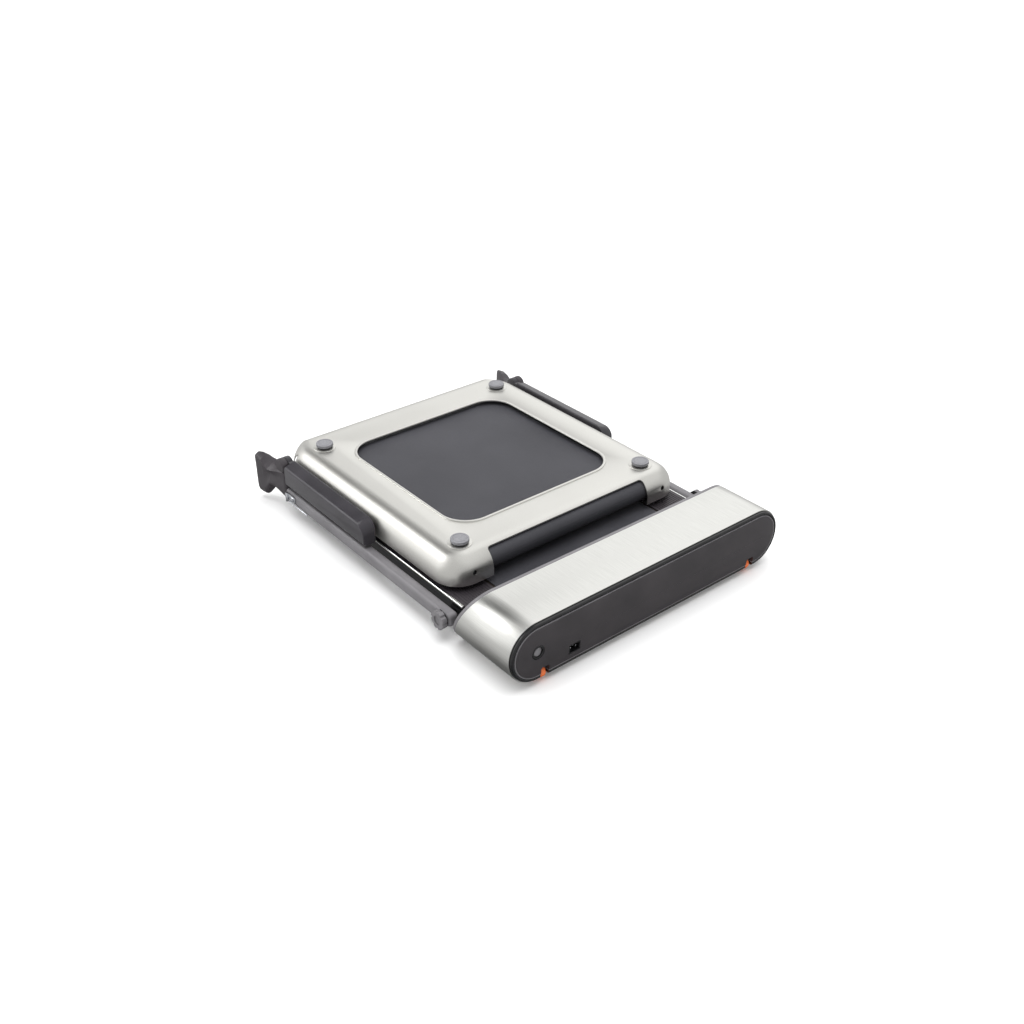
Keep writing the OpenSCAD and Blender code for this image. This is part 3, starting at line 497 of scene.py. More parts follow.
def hood_ring(outer, inner, front, back):
    """A ring that follows the hood's outline, between two insets."""
    bm = hood_outline(outer, front)
    bmesh.ops.inset_region(
        bm, faces=bm.faces[:], thickness=inner - outer, use_boundary=True, use_even_offset=True
    )
    middle = max(bm.faces, key=lambda f: len(f.edges))
    bmesh.ops.delete(bm, geom=[middle], context="FACES_ONLY")
    draw_out(bm, (0, back - front, 0))
    return bm


def wheel_slots(depth):
    """The shapes of the openings for the transport wheels."""
    shapes = []
    for side in (-1, 1):
        bm = bmesh.new()
        x = side * (WHEEL_LOW.x + WHEEL_HIGH.x) / 2
        wide = (WHEEL_HIGH.x - WHEEL_LOW.x) / 2 + 3 * MM
        y, z = HOOD_LOW.y - 0.03, WHEEL_HIGH.z + 7 * MM
        block(bm, (x - wide, y, 0), (x + wide, HOOD_LOW.y + depth, z))
        round_edges(bm, [e for e in sharp(bm) if all(v.co.z > z - 1e-4 for v in e.verts)
                         and abs(e.verts[0].co.x - e.verts[1].co.x) < 1e-6], 4 * MM, 4)
        shapes.append(bm)
    return shapes


def hood():
    """The brushed sleeve, the dark ring in its mouth, and the grey ring behind it."""
    sleeve = hood_ring(0, SLEEVE_WALL, HOOD_LOW.y, HOOD_HIGH.y + 0.01)
    slice_off(sleeve, 0)
    round_edges(sleeve, sharp(sleeve, least=50), 0.5 * MM, 2)
    sleeve = cut(to_object(sleeve, "hood_sleeve"), *wheel_slots(SLOT_DEPTH))
    finish(sleeve, "base", BRUSHED, ["hood_cover"])

    ring = hood_ring(2.8 * MM, 9.6 * MM, HOOD_LOW.y - 6.5 * MM, HOOD_LOW.y + 12 * MM)
    front = HOOD_LOW.y - 6.4 * MM
    edges = sharp(ring, lambda m: m.y < front)
    round_edges(ring, edges, 2.6 * MM, 4)
    ring = cut(to_object(ring, "front_ring"), *wheel_slots(SLOT_DEPTH))
    finish(ring, "base", GLOSS_BLACK, ["front_bezel"], angle=50)

    rear = hood_ring(0.8 * MM, 5.5 * MM, HOOD_LOW.y + 0.06, HOOD_HIGH.y + 0.03)
    slice_off(rear, 0, keep_front=False)
    slice_off(rear, 8 * MM)
    round_edges(rear, sharp(rear, least=50), 0.7 * MM, 2)
    finish((rear, "rear_ring"), "base", GREY_ABS, ["hood_rear_bezel"])


def front_panel():
    """The dark moulded front, with a lighter grey bead round its edge that paints a highlight, and
    a shallow crown.
    """
    # a lighter grey ring round the panel's edge: a painted highlight where the edge would catch
    # the light
    bead = hood_ring(9.9 * MM, 11.7 * MM, HOOD_LOW.y - 6.9 * MM, HOOD_LOW.y + 8 * MM)
    front = HOOD_LOW.y - 6.8 * MM
    round_edges(bead, sharp(bead, lambda m: m.y < front), 0.8 * MM, 3)
    bead = cut(to_object(bead, "panel_edge_painted_highlight"), *wheel_slots(SLOT_DEPTH))
    finish(bead, "base", GREY_ABS, angle=60)

    bm = hood_outline(11.8 * MM, HOOD_LOW.y + 5 * MM)
    draw_out(bm, (0, -11 * MM, 0))
    for rise, width in ((1.2, 1.3), (0.5, 4), (0.7, 8), (0.6, 12), (0.4, 14)):
        front = max(bm.faces, key=lambda f: (-round(f.calc_center_median().y, 5), len(f.edges)))
        bmesh.ops.inset_region(bm, faces=[front], thickness=width * MM, depth=rise * MM)
    obj = to_object(bm, "front_panel_shell")
    x, z = (SWITCH_LOW.x + SWITCH_HIGH.x) / 2, (SWITCH_LOW.z + SWITCH_HIGH.z) / 2
    y = HOOD_LOW.y
    round_hole, square_hole = bmesh.new(), bmesh.new()
    bar(round_hole, (x, y - 0.03, z), (x, y + 0.03, z), (SWITCH_HIGH.x - SWITCH_LOW.x) / 2, 64)
    gap = Vector((0.4, 0, 0.4)) * MM
    block(square_hole, Vector((INLET_LOW.x, y - 0.03, INLET_LOW.z)) - gap,
          Vector((INLET_HIGH.x, y + 0.03, INLET_HIGH.z)) + gap)
    round_edges(square_hole, [e for e in sharp(square_hole)
                              if abs(e.verts[0].co.y - e.verts[1].co.y) > 0.01], 3 * MM, 4)
    cut(obj, round_hole, square_hole, *wheel_slots(PANEL_SLOT_DEPTH), solver="MANIFOLD")
    finish(obj, "base", PANEL_ABS, ["front_panel"], angle=28)


def switch_and_inlet():
    """A ringed rocker switch and the mains socket with its pins."""
    x, z = (SWITCH_LOW.x + SWITCH_HIGH.x) / 2, (SWITCH_LOW.z + SWITCH_HIGH.z) / 2
    r, y = (SWITCH_HIGH.x - SWITCH_LOW.x) / 2, HOOD_LOW.y
    bm = bmesh.new()
    body = bar(bm, (x, y + 18 * MM, z), (x, y - 9.6 * MM, z), r - 0.2 * MM, 64)
    face_in = cap(body, (0, -1, 0))
    bmesh.ops.inset_region(bm, faces=face_in, thickness=4.6 * MM, depth=0)
    face_in = [f for f in bm.faces if f.normal.y < -0.99 and len(f.edges) == 64]
    bmesh.ops.inset_region(bm, faces=face_in, thickness=0.1 * MM, depth=-14 * MM)
    round_edges(bm, sharp(bm, lambda m: m.y < y - 9.5 * MM), 0.8 * MM, 3)
    finish((bm, "switch_ring"), "base", GLOSS_BLACK,
           ["power_switch_housing"])

    bm = bmesh.new()
    disc = bar(bm, (x, y - 2 * MM, z), (x, y - 6.2 * MM, z), r - 5.2 * MM, 64)
    round_edges(bm, rims(disc, (0, -1, 0)), 1.2 * MM, 3)
    bar(bm, (x - r + 1.3 * MM, y - 4 * MM, z), (x + r - 1.3 * MM, y - 4 * MM, z), 1.2 * MM, 16)
    tilt = Matrix.Rotation(radians(-8), 3, "X")
    bmesh.ops.rotate(bm, verts=bm.verts, cent=(x, y - 4 * MM, z), matrix=tilt)
    finish((bm, "switch_rocker"), "power_rocker", GREY_ABS,
           ["power_switch_rocker"])

    bm = bmesh.new()
    block(bm, (INLET_LOW.x, y - 9.4 * MM, INLET_LOW.z), INLET_HIGH)
    front = [f for f in bm.faces if f.normal.y < -0.9]
    bmesh.ops.inset_region(bm, faces=front, thickness=3.2 * MM, depth=0)
    bmesh.ops.inset_region(bm, faces=front, thickness=0.1 * MM, depth=-21 * MM)
    round_edges(bm, sharp(bm, lambda m: m.y < y - 9 * MM), 0.7 * MM, 2)
    finish((bm, "inlet_body"), "base", GLOSS_BLACK, ["power_inlet"])
    bm = bmesh.new()
    mid = (INLET_LOW + INLET_HIGH) / 2
    for dx, dz in ((-6.5, -2), (0, 3), (6.5, -2)):
        at = Vector((mid.x + dx * MM, 0, mid.z + dz * MM))
        block(bm, at + Vector((-1 * MM, y - 4 * MM, -2 * MM)),
              at + Vector((1 * MM, y + 13 * MM, 2 * MM)))
    round_edges(bm, sharp(bm, lambda m: m.y < y), 0.4 * MM, 2)
    finish((bm, "inlet_pins"), "base", CHROME)


def wheels():
    """Crowned orange tyres with a dished hub."""
    y, z = (WHEEL_LOW.y + WHEEL_HIGH.y) / 2, (WHEEL_LOW.z + WHEEL_HIGH.z) / 2
    r = (WHEEL_HIGH.z - WHEEL_LOW.z) / 2
    for name, side in SIDES.items():
        bm = bmesh.new()
        tyre = bar(bm, (WHEEL_LOW.x, y, z), (WHEEL_HIGH.x, y, z), r, 48)
        for aim in ((1, 0, 0), (-1, 0, 0)):
            bmesh.ops.inset_region(bm, faces=cap(tyre, aim), thickness=5.2 * MM, depth=0)
        ends = [f for f in bm.faces if abs(f.normal.x) > 0.99 and len(f.edges) == 48]
        bmesh.ops.inset_individual(bm, faces=ends, thickness=0.8 * MM, depth=-1.5 * MM)
        outer = sharp(bm, lambda m: (m.yz - Vector((y, z))).length > r - 0.5 * MM)
        round_edges(bm, outer, 4.6 * MM, 5)
        on_side(bm, side)
        finish((bm, name + "_tyre"), name + "_wheel", WHEEL_TPU,
               [name + "_wheel"], angle=40)


hood()
front_panel()
switch_and_inlet()
wheels()

# ---- rear half -------------------------------------------------------------------------

RIM_PROUD = 1.5 * MM
COVER_TOP = COVER_HIGH.z - RIM_PROUD
SHEET = 2.5 * MM
EDGE_R = 45 * MM
NOTCH = 210 * MM
WINDOW = (424 * MM, 425 * MM, 62 * MM)
WINDOW_Y = COVER_LOW.y + 106 * MM
FOOT_R = 19 * MM
NEAR_CORNER_R, FAR_CORNER_R = 58 * MM, 100 * MM
SCREW_HOLE_X = 255 * MM
LIP_ANGLE = radians(48)
FOOT_PLACES = [
    (side * (FEET_HIGH.x - FOOT_R), y)
    for side in (-1, 1) for y in (FEET_LOW.y + FOOT_R, FEET_HIGH.y - FOOT_R)
]


def window_outline(grow, z):
    """The window's outline as a flat face, grown by a margin."""
    x, y0, y1 = WINDOW[0] / 2 + grow, WINDOW_Y - grow, WINDOW_Y + WINDOW[1] + grow
    bm = face([(-x, y0, z), (x, y0, z), (x, y1, z), (-x, y1, z)])
    round_corners(bm, bm.verts[:], WINDOW[2] + grow, 20)
    return bm


def cover_solid(inset):
    """The rear cover as a solid: a tray shape with rolled edges, rounded at the fold."""
    x, near_y = COVER_HIGH.x - inset, COVER_LOW.y + inset
    roll = COVER_TOP - FOLD_AXIS.z
    far_y = FOLD_AXIS.y + roll - inset
    low, high = COVER_LOW.z + (3 if inset else 5) * MM, COVER_TOP - inset
    bm = face([(-x, near_y, low), (x, near_y, low), (x, far_y, low), (-x, far_y, low)])
    round_corners(bm, near(bm, 1, near_y), NEAR_CORNER_R - inset, 28)
    round_corners(bm, [v for v in near(bm, 1, far_y) if abs(v.co.x) > x - 1e-4],
                  FAR_CORNER_R - inset, 12)
    draw_out(bm, (0, 0, high - low))
    round_edges(bm, sharp(bm, lambda m: m.z > high - 1e-5), EDGE_R - inset, 20)
    obj = to_object(bm, "cover")
    # the far end rolls down round the fold axis
    y0, y1, top = FOLD_AXIS.y, FOLD_AXIS.y + roll - inset, high + 0.02
    bm = face([(-0.4, y0, high), (-0.4, y1, high), (-0.4, y1, FOLD_AXIS.z),
               (-0.4, y1 + 0.03, FOLD_AXIS.z), (-0.4, y1 + 0.03, top), (-0.4, y0, top)])
    corner = [v for v in bm.verts
              if (v.co - Vector((-0.4, y1, high))).length < 1e-5]
    round_corners(bm, corner, roll - inset - 0.02 * MM, 20)
    draw_out(bm, (0.8, 0, 0))
    return cut(obj, bm)


def rear_cover():
    """The blasted silver tray over the rear half, with its window, notch and screw holes."""
    shell = cut(cover_solid(0), cover_solid(SHEET))
    window = window_outline(0, 0.1)
    draw_out(window, (0, 0, 0.1))
    notch = face([(-NOTCH, COVER_LOW.y - 0.05, 0.04), (NOTCH, COVER_LOW.y - 0.05, 0.04),
                  (NOTCH, COVER_LOW.y + 24 * MM, 0.04), (-NOTCH, COVER_LOW.y + 24 * MM, 0.04)])
    round_corners(notch, near(notch, 1, COVER_LOW.y + 24 * MM), 8 * MM, 6)
    draw_out(notch, (0, 0, 0.2))
    # behind the fold, everything below the end of the lip
    y, z, reach, lip = FOLD_AXIS.y, FOLD_AXIS.z, 0.13, LIP_ANGLE
    below = face([(-0.4, y, z - 0.05), (-0.4, y, z),
                  (-0.4, y + reach * cos(lip), z + reach * sin(lip)), (-0.4, y + 0.2, z - 0.05)])
    draw_out(below, (0.8, 0, 0))
    shapes = [window, notch, below]
    for side in (-1, 1):
        hole, shoulder = bmesh.new(), bmesh.new()
        at = Vector((side * SCREW_HOLE_X, COVER_LOW.y, 106 * MM))
        bar(hole, at - Vector((0, 0.01, 0)), at + Vector((0, 0.012, 0)), 5 * MM, 32)
        block(shoulder, (min(side * 0.296, side * 0.4), y - 6 * MM, 0),
              (max(side * 0.296, side * 0.4), y + 0.1, 0.2))
        shapes += [hole, shoulder]
    cut(shell, *shapes)
    shell.name = "cover_shell"
    finish(shell, "rear_half", BLASTED, ["rear_cover"], angle=30, edge=0.6 * MM)

    bead = window_outline(5 * MM, COVER_TOP - 1 * MM)
    bmesh.ops.inset_region(
        bead, faces=bead.faces[:], thickness=6 * MM, use_boundary=True, use_even_offset=True
    )
    middle = max(bead.faces, key=lambda f: len(f.edges))
    bmesh.ops.delete(bead, geom=[middle], context="FACES_ONLY")
    draw_out(bead, (0, 0, 2.5 * MM))
    top = COVER_HIGH.z - 1e-5
    round_edges(bead, sharp(bead, lambda m: m.z > top), 1.4 * MM, 4)
    finish((bead, "window_bead"), "rear_half", BLASTED, angle=50)


def rear_feet():
    """Grey rubber feet with a domed, grooved top, each on a narrower black neck whose black paints
    the shade under the pad, and a silver collar.
    """
    bm, collars, shade_painted_necks = bmesh.new(), bmesh.new(), bmesh.new()
    up = Vector((0, 0, 1))
    for x, y in FOOT_PLACES:
        at = Vector((x, y, 0))
        pad = bar(bm, at + up * (COVER_TOP + 4 * MM), at + up * FEET_HIGH.z, FOOT_R, 64)
        round_edges(bm, rims(pad, (0, 0, -1)), 0.8 * MM, 2)
        rim = [e for e in sharp(bm, lambda m: m.z > FEET_HIGH.z - 1e-5
                                and (m.xy - at.xy).length < 0.03)]
        round_edges(bm, rim, 1.6 * MM, 4)
        for inset, depth in ((2.4, 0), (0.5, -0.7), (1.0, 0), (0.5, 0.7)):
            crown = [f for f in bm.faces if len(f.edges) == 64 and f.normal.z > 0.99
                     and (f.calc_center_median().xy - at.xy).length < 0.001]
            bmesh.ops.inset_region(bm, faces=crown, thickness=inset * MM, depth=depth * MM)
        # the neck is real and narrower than the pad; its black rubber also paints the shade in the
        # undercut
        bar(shade_painted_necks, at + up * (COVER_TOP - 1 * MM), at + up * (COVER_TOP + 4.5 * MM),
            FOOT_R - 2.5 * MM, 48)
        ring = bar(collars, at + up * (COVER_TOP - 1 * MM), at + up * (COVER_TOP + 1 * MM),
                   FOOT_R + 6 * MM, 64)
        round_edges(collars, rims(ring, (0, 0, 1)), 0.8 * MM, 3)
    finish((bm, "foot_pads"), "rear_half", FOOT_RUBBER, ["rear_feet"])
    finish((shade_painted_necks, "foot_necks_painted_shade"), "rear_half", BLACK_RUBBER)
    finish((collars, "foot_collars"), "rear_half", BLASTED, angle=50)


rear_cover()
rear_feet()

# ---- bright trims of the front foot rails ------------------------------------------------


def rail_trims():
    """Polished strips with a round outer edge."""
    bm = bmesh.new()
    for side in (-1, 1):
        x0, x1 = sorted((side * (TRIM_HIGH.x - 7 * MM), side * (TRIM_HIGH.x - 2 * MM)))
        block(bm, (x0, TRIM_LOW.y, TRIM_LOW.z), (x1, TRIM_HIGH.y, TRIM_HIGH.z))
    high = TRIM_HIGH.z - 1e-5
    round_edges(bm, sharp(bm, lambda m: m.z > high and abs(m.x) > TRIM_HIGH.x - 3 * MM), 3 * MM, 6)
    finish((bm, "rail_strips"), "base", POLISHED, ["front_rail_trims"])


rail_trims()

# ---- belt at the fold ------------------------------------------------------------------


def belt_bend(name, node):
    """A half ring of belt round the fold axis."""
    low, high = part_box(node)
    z0, z1 = low.z, low.z + 1.7 * MM
    x = BELT_HIGH.x
    bm = face([(-x, FOLD_AXIS.y, z0), (x, FOLD_AXIS.y, z0), (x, FOLD_AXIS.y, z1),
               (-x, FOLD_AXIS.y, z1)])
    bmesh.ops.spin(bm, geom=bm.faces[:], cent=FOLD_AXIS, axis=(1, 0, 0), angle=pi, steps=32,
                   use_duplicate=False)
    obj = to_object(bm, name)
    mesh = obj.data
    mesh.materials.append(BELT)
    mesh.polygons.foreach_set("use_smooth", [True] * len(mesh.polygons))
    mesh.set_sharp_from_angle(angle=radians(40))
    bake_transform(obj)
    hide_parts(node)


belt_bend("inner_bend", "belt_fold_inner")
belt_bend("outer_bend", "belt_fold_outer")

# ---- handrails -------------------------------------------------------------------------

POST_END = POST_HIGH.y
KNUCKLE = Vector((0, GRIP_HIGH.y - 18 * MM, (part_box("right_grip_pin")[0].z
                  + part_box("right_grip_pin")[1].z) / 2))
# Stations of the end block: place along the machine from the post's end, inner and outer
# side, bottom and top, how deep the outer side is hollowed, and how far the outer top edge
# lies below the inner one, in millimetres.
BLOCK_STATIONS = [
    (-1, 318, 347, 37, 104, 0, 4), (12, 317.5, 349, 34, 110, 2, 8),
    (32, 317.5, 353, 42, 112, 6, 14), (50, 318, 356, 48, 108, 9, 16),
    (64, 321, 358.5, 46, 107, 10, 16), (76, 326, 359.5, 28, 110, 8, 13),
    (88, 331, 359.8, 13.5, 115, 5, 10), (102, 337, 359.8, 12.6, 117, 3, 8),
    (113, 342, 359.5, 13, 115, 1, 8), (115.8, 343, 358.5, 15, 112, 0, 7),
]
# The section of the block: shares of its width and height, of the hollow and of the drop.
BLOCK_SECTION = [
    (0, 0.12, 0, 0), (0.3, 0, 0, 0), (0.7, 0, 0, 0), (1, 0.1, 0.1, 0), (1, 0.4, 0.8, 0),
    (1, 0.7, 1, 0.5), (1, 1, 0, 1), (0.6, 1, 0, 0.3), (0.15, 1, 0, 0), (0, 0.9, 0, 0),
]
CREST = 6
KNUCKLE_R = 18 * MM


def post(name, side):
    """Handrail tube with a round-cornered pivot end."""
    x0, x1 = POST_LOW.x + 6 * MM, POST_HIGH.x
    y0, y1, z0, z1 = PIVOT.y - 21 * MM, POST_HIGH.y, POST_LOW.z, POST_HIGH.z
    bm = face([(x0, y0, z0), (x0, y1, z0), (x0, y1, z1), (x0, y0, z1)])
    round_corners(bm, near(bm, 1, y0), 9 * MM, 10)
    draw_out(bm, (x1 - x0, 0, 0))
    long_rims = [e for e in sharp(bm, lambda m: m.y < y1 - 1e-5)
                 if abs(e.verts[0].co.x - e.verts[1].co.x) < 1e-6]
    round_edges(bm, long_rims, 8 * MM, 7)
    on_side(bm, side)
    finish((bm, name + "_rail"), name + "_handrail", POST_ABS,
           [name + "_post"])


def grip(name, side):
    """Soft-touch grip with a crest along its outer top edge and a rounded nose."""
    x0, x1 = GRIP_LOW.x, GRIP_HIGH.x
    y0, y1, z0, z1 = GRIP_LOW.y, POST_HIGH.y - 1 * MM, GRIP_LOW.z, GRIP_LOW.z + 56 * MM
    crest = z1 - 9 * MM
    bm = face([(x0, y0, z0), (x1, y0, z0), (x1, y0, crest), (x0, y0, z1)])
    for x, z, r in ((x0, z0, 6), (x1, z0, 9), (x1, crest, 5), (x0, z1, 4)):
        corner = [v for v in bm.verts if (v.co - Vector((x, y0, z))).length < 1e-6]
        round_corners(bm, corner, r * MM, 6)
    draw_out(bm, (0, y1 - y0, 0))
    round_edges(bm, sharp(bm, lambda m: m.y < y0 + 1e-5), 3.4 * MM, 5)
    obj = to_object(bm, name + "_grip_cover")
    # the nose rolls down towards the front, along the slope of the top
    nose_r, out, fall = 28 * MM, 20 * MM, (crest - z1) / (x1 - x0)
    x, top = 0.3, z1 + fall * (0.3 - x0)
    bm = face([(x, y0, top - nose_r), (x, y0, top), (x, y0 + nose_r, top),
               (x, y0 + nose_r, top + out), (x, y0 - out, top + out),
               (x, y0 - out, top - nose_r)])
    corner = [v for v in bm.verts if (v.co - Vector((x, y0, top))).length < 1e-6]
    round_corners(bm, corner, nose_r - 0.02 * MM, 14)
    draw_out(bm, (0.07, 0, fall * 0.07))
    cut(obj, bm)
    bm = bmesh.new()
    bm.from_mesh(obj.data)
    bpy.data.objects.remove(obj)
    round_edges(bm, sharp(bm, lambda m: m.y < y0 + nose_r and m.z > z1 - nose_r, 55), 2 * MM, 3)
    knuckle = bar(bm, (x0, KNUCKLE.y, KNUCKLE.z), (x0 + 13.6 * MM, KNUCKLE.y, KNUCKLE.z),
                  KNUCKLE_R, 40)
    round_edges(bm, rims(knuckle, (-1, 0, 0)), 3 * MM, 3)
    block(bm, (x0 + 0.2 * MM, y1 - 2 * MM, KNUCKLE.z - 15.5 * MM),
          (x0 + 13.5 * MM, KNUCKLE.y, KNUCKLE.z + 11.5 * MM))
    on_side(bm, side)
    finish((bm, name + "_grip_cover"), name + "_grip", TPE, [name + "_grip"],
           angle=38)


def end_block(name, side):
    """The flared end of the handrail, lofted from station to station."""
    bm = bmesh.new()
    crests = []
    for step, (along, x0, x1, z0, z1, hollow, drop) in enumerate(BLOCK_STATIONS):
        places = [
            Vector((x0 + u * (x1 - x0) - hollow * h, 0, z0 + w * (z1 - z0) - drop * d)) * MM
            + Vector((0, POST_END + along * MM, 0))
            for u, w, h, d in BLOCK_SECTION
        ]
        if step == 0:
            last = bm.faces.new([bm.verts.new(p) for p in places])
            order = list(last.verts)
            continue
        made = bmesh.ops.extrude_face_region(bm, geom=[last])["geom"]
        last = next(g for g in made if isinstance(g, bmesh.types.BMFace))
        fresh = [v for v in made if isinstance(v, bmesh.types.BMVert)]
        pairs = [(v, min(fresh, key=lambda f: (f.co - v.co).length)) for v in order]
        for (_, v), place in zip(pairs, places):
            v.co = place
        crests.append((order[CREST], pairs[CREST][1]))
        order = [v for _, v in pairs]
    crease = bm.edges.layers.float.new("crease_edge")
    for a, b in crests:
        bm.edges.get((a, b))[crease] = 0.5
    on_side(bm, side)
    obj = to_object(bm, name + "_pommel")
    soft = obj.modifiers.new("soft", "SUBSURF")
    soft.levels = soft.render_levels = 2
    settle(obj)
    room = bmesh.new()
    x0, x1 = BLOCK_LOW.x, BLOCK_LOW.x + 14.6 * MM
    bar(room, (x0 - 0.01, KNUCKLE.y, KNUCKLE.z), (x1, KNUCKLE.y, KNUCKLE.z), 19 * MM, 48)
    on_side(room, side)
    slot_room = bmesh.new()
    block(slot_room, (x0 - 0.01, POST_END - 0.01, KNUCKLE.z - 22 * MM), (x1, KNUCKLE.y, 0.16))
    on_side(slot_room, side)
    cut(obj, room, slot_room)
    finish(obj, name + "_handrail", DARK_ABS, [name + "_end_block"], angle=40)

    bm = bmesh.new()
    ear = bar(bm, (x1 + 0.2 * MM, KNUCKLE.y, KNUCKLE.z), (POST_HIGH.x, KNUCKLE.y, KNUCKLE.z),
              KNUCKLE_R, 40)
    round_edges(bm, rims(ear, (1, 0, 0)), 3 * MM, 3)
    block(bm, (POST_LOW.x + 2.8 * MM, POST_END - 26 * MM, POST_LOW.z + 8 * MM),
          (POST_HIGH.x - 2.8 * MM, POST_END + 20 * MM, POST_HIGH.z - 8 * MM))
    on_side(bm, side)
    finish((bm, name + "_ear"), name + "_handrail", DARK_ABS, edge=0.6 * MM)


def knob(name, side):
    """Lobed clamping knob with a recessed centre."""
    x0, x1, r = KNOB_HIGH.x - 11 * MM, KNOB_HIGH.x, (KNOB_HIGH.z - KNOB_LOW.z) / 2
    bm = bmesh.new()
    bar(bm, (x0, PIVOT.y, PIVOT.z), (x1, PIVOT.y, PIVOT.z), r, 64)
    obj = to_object(bm, name + "_knob_head")
    for i in range(8):
        angle = (i + 1) * pi / 4
        at = Vector((0, PIVOT.y + cos(angle) * 22 * MM, PIVOT.z + sin(angle) * 22 * MM))
        flute = bmesh.new()
        bar(flute, at + Vector((x0 - 0.01, 0, 0)), at + Vector((x1 + 0.01, 0, 0)), 4.5 * MM, 24)
        cut(obj, flute)
    bm = bmesh.new()
    bar(bm, (x1 - 2.5 * MM, PIVOT.y, PIVOT.z), (x1 + 0.01, PIVOT.y, PIVOT.z), 10 * MM, 48)
    cut(obj, bm)
    bm = bmesh.new()
    bm.from_mesh(obj.data)
    bpy.data.objects.remove(obj)
    bar(bm, (POST_HIGH.x + 0.3 * MM, PIVOT.y, PIVOT.z), (x0 + 1 * MM, PIVOT.y, PIVOT.z), 11 * MM)
    on_side(bm, side)
    finish((bm, name + "_knob_head"), name + "_knob", POST_ABS,
           [name + "_knob"], edge=0.9 * MM)
    bm = bmesh.new()
    bar(bm, (POST_HIGH.x + 0.4 * MM, PIVOT.y, PIVOT.z), (x0 - 0.3 * MM, PIVOT.y, PIVOT.z),
        r - 0.4 * MM, 64)
    on_side(bm, side)
    finish((bm, name + "_knob_washer"), name + "_knob", BLACK_ABS,
           edge=0.3 * MM)


def latch(name, side):
    """Bright catch: a folded plate on a rolled pivot, with a thin pull rod below."""
    x0, x1 = LATCH_LOW.x, LATCH_HIGH.x
    y0, y1, z0, z1 = LATCH_LOW.y, LATCH_HIGH.y, LATCH_LOW.z, LATCH_HIGH.z
    mid, rod = (x0 + x1) / 2, z0 + 1.6 * MM
    bm = bmesh.new()
    block(bm, (x0, y1 - 36 * MM, z0 + 5 * MM), (x0 + 2.4 * MM, y1 - 6 * MM, z1 - 1 * MM))
    corners = [e for e in sharp(bm) if abs(e.verts[0].co.x - e.verts[1].co.x) > 1 * MM]
    round_edges(bm, corners, 4 * MM, 5)
    block(bm, (x0 + 1 * MM, y1 - 30 * MM, z0 + 9 * MM), (x1 - 1 * MM, y1 - 20 * MM, z1 - 5 * MM))
    block(bm, (x0 + 0.4 * MM, y1 - 18 * MM, z0 + 0.6 * MM),
          (x0 + 2.2 * MM, y1 - 12 * MM, z1 - 8 * MM))
    bar(bm, (mid, y1 - 3.4 * MM, z0), (mid, y1 - 3.4 * MM, z1), 3.4 * MM, 32)
    bar(bm, (mid - 1 * MM, y0, rod), (mid - 1 * MM, y1 - 3 * MM, rod), 1.5 * MM, 20)
    on_side(bm, side)
    finish((bm, name + "_catch"), name + "_latch", CHROME, [name + "_latch"],
           edge=0.4 * MM)


for name, side in SIDES.items():
    post(name, side)
    grip(name, side)
    end_block(name, side)
    knob(name, side)
    latch(name, side)

# ---- stage, light and camera -----------------------------------------------------------


def floor():
    """A plain pale floor."""
    bm = bmesh.new()
    bmesh.ops.create_grid(bm, x_segments=1, y_segments=1, size=30)
    mesh = bpy.data.meshes.new("floor")
    bm.to_mesh(mesh)
    bm.free()
    obj = bpy.data.objects.new("floor", mesh)
    bpy.context.collection.objects.link(obj)
    material, tree, shader, place = start("floor_paper", 0.9)
    shader.inputs["Specular IOR Level"].default_value = 0.1
    tone = add(tree, "ShaderNodeTexNoise", {"Vector": place, "Scale": 0.5})
    tint(tree, shader, tone.outputs["Fac"], "#FBFBFB", "#FFFFFF")
    mesh.materials.append(material)
    obj.visible_glossy = False


def softbox(name, position, target, size, power):
    """A wide area light aimed at a point. It fills the shadows but isn't mirrored."""
    light = bpy.data.lights.new(name, "AREA")
    light.energy = power
    light.shape = "RECTANGLE"
    light.size, light.size_y = size
    obj = bpy.data.objects.new(name, light)
    bpy.context.collection.objects.link(obj)
    aim = Vector(target) - Vector(position)
    obj.visible_glossy = False
    turn = aim.to_track_quat("-Z", "Y").to_matrix().to_4x4()
    obj.matrix_world = Matrix.Translation(position) @ turn


# The camera's place, its heading and downward tilt in degrees, its roll and its focal length.
CAMERA_PLACE = (-1.35397, -1.70089, 1.3764)
CAMERA_HEADING, CAMERA_DROP = 38.92, 31.65
CAMERA_ROLL = -0.0022
CAMERA_LENS = 40.65
# Bright and dark areas of the studio: direction, cosines where each ends and is full, and
# how much it adds.
STUDIO_AREAS = [
    ((0.55, 0.55, 0.62), 0.78, 0.92, 0.60), ((-0.62, 0.62, 0.45), 0.80, 0.93, 0.60),
    ((0.35, -0.35, 0.87), 0.75, 0.92, 0.20), ((0.12, 0.66, 0.74), 0.91, 0.985, -0.9),
    ((-0.46, 0.62, 0.64), 0.975, 0.995, 4.0),
]
STUDIO_LEVEL = 0.62
# Heights between which the studio darkens below the horizon, and how dark it gets.
SHADE_FROM, SHADE_TO, SHADE_LEAST = -0.82, -0.28, 0.2


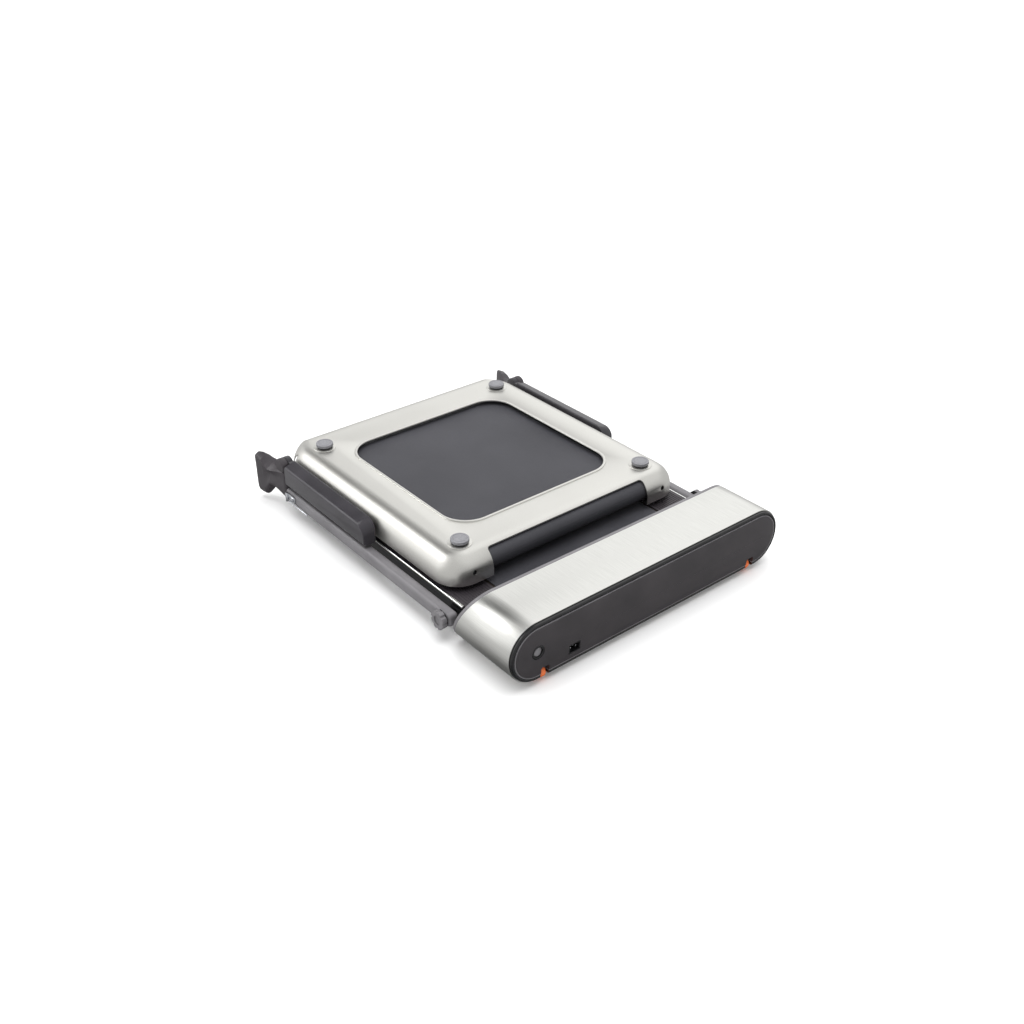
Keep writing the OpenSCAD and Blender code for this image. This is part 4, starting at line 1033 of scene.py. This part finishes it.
def studio():
    """Soft white surroundings with brighter panels and a dark gap between two of them."""
    world = bpy.data.worlds.new("studio")
    world.use_nodes = True
    bpy.context.scene.world = world
    tree = world.node_tree
    aim = add(tree, "ShaderNodeTexCoord").outputs["Generated"]
    total = STUDIO_LEVEL
    for direction, edge, full, gain in STUDIO_AREAS:
        facing = add(
            tree, "ShaderNodeVectorMath", {0: aim, 1: Vector(direction).normalized()},
            operation="DOT_PRODUCT",
        )
        area = add(
            tree, "ShaderNodeMapRange",
            {"Value": facing.outputs["Value"], "From Min": edge, "From Max": full, "To Max": gain},
            interpolation_type="SMOOTHSTEP",
        )
        total = add(
            tree, "ShaderNodeMath", {0: total, 1: area.outputs["Result"]}, operation="ADD"
        ).outputs["Value"]
    # dark below the horizon, which the metal mirrors in place of the floor
    height = add(tree, "ShaderNodeSeparateXYZ", {"Vector": aim}).outputs["Z"]
    shade = add(
        tree, "ShaderNodeMapRange",
        {"Value": height, "From Min": SHADE_FROM, "From Max": SHADE_TO, "To Min": SHADE_LEAST},
        interpolation_type="SMOOTHSTEP",
    )
    level = add(
        tree, "ShaderNodeMath", {0: total, 1: shade.outputs["Result"]}, operation="MULTIPLY"
    )
    tree.links.new(level.outputs["Value"], tree.nodes["Background"].inputs["Strength"])
    tree.nodes["Background"].inputs["Color"].default_value = linear("#FFFFFF")
    softbox("overhead", (0.2, 0.1, 2.8), (0, 0, 0.1), (2.8, 2.8), 22)
    sky = bpy.data.lights.new("ceiling", "SUN")
    sky.energy, sky.angle = 1.6, radians(60)
    lamp = bpy.data.objects.new("ceiling", sky)
    lamp.visible_glossy = False
    bpy.context.collection.objects.link(lamp)
    bpy.context.scene.view_settings.view_transform = "Standard"


def camera():
    """The camera, looking down at the front left corner."""
    heading, drop = radians(CAMERA_HEADING), radians(CAMERA_DROP)
    data = bpy.data.cameras.new("camera")
    data.sensor_width = 36
    data.lens = CAMERA_LENS
    obj = bpy.data.objects.new("camera", data)
    bpy.context.collection.objects.link(obj)
    look = Vector((sin(heading) * cos(drop), cos(heading) * cos(drop), -sin(drop)))
    turn = look.to_track_quat("-Z", "Y").to_matrix() @ Matrix.Rotation(CAMERA_ROLL, 3, "Z")
    obj.matrix_world = Matrix.Translation(CAMERA_PLACE) @ turn.to_4x4()
    bpy.context.scene.camera = obj


floor()
studio()
camera()
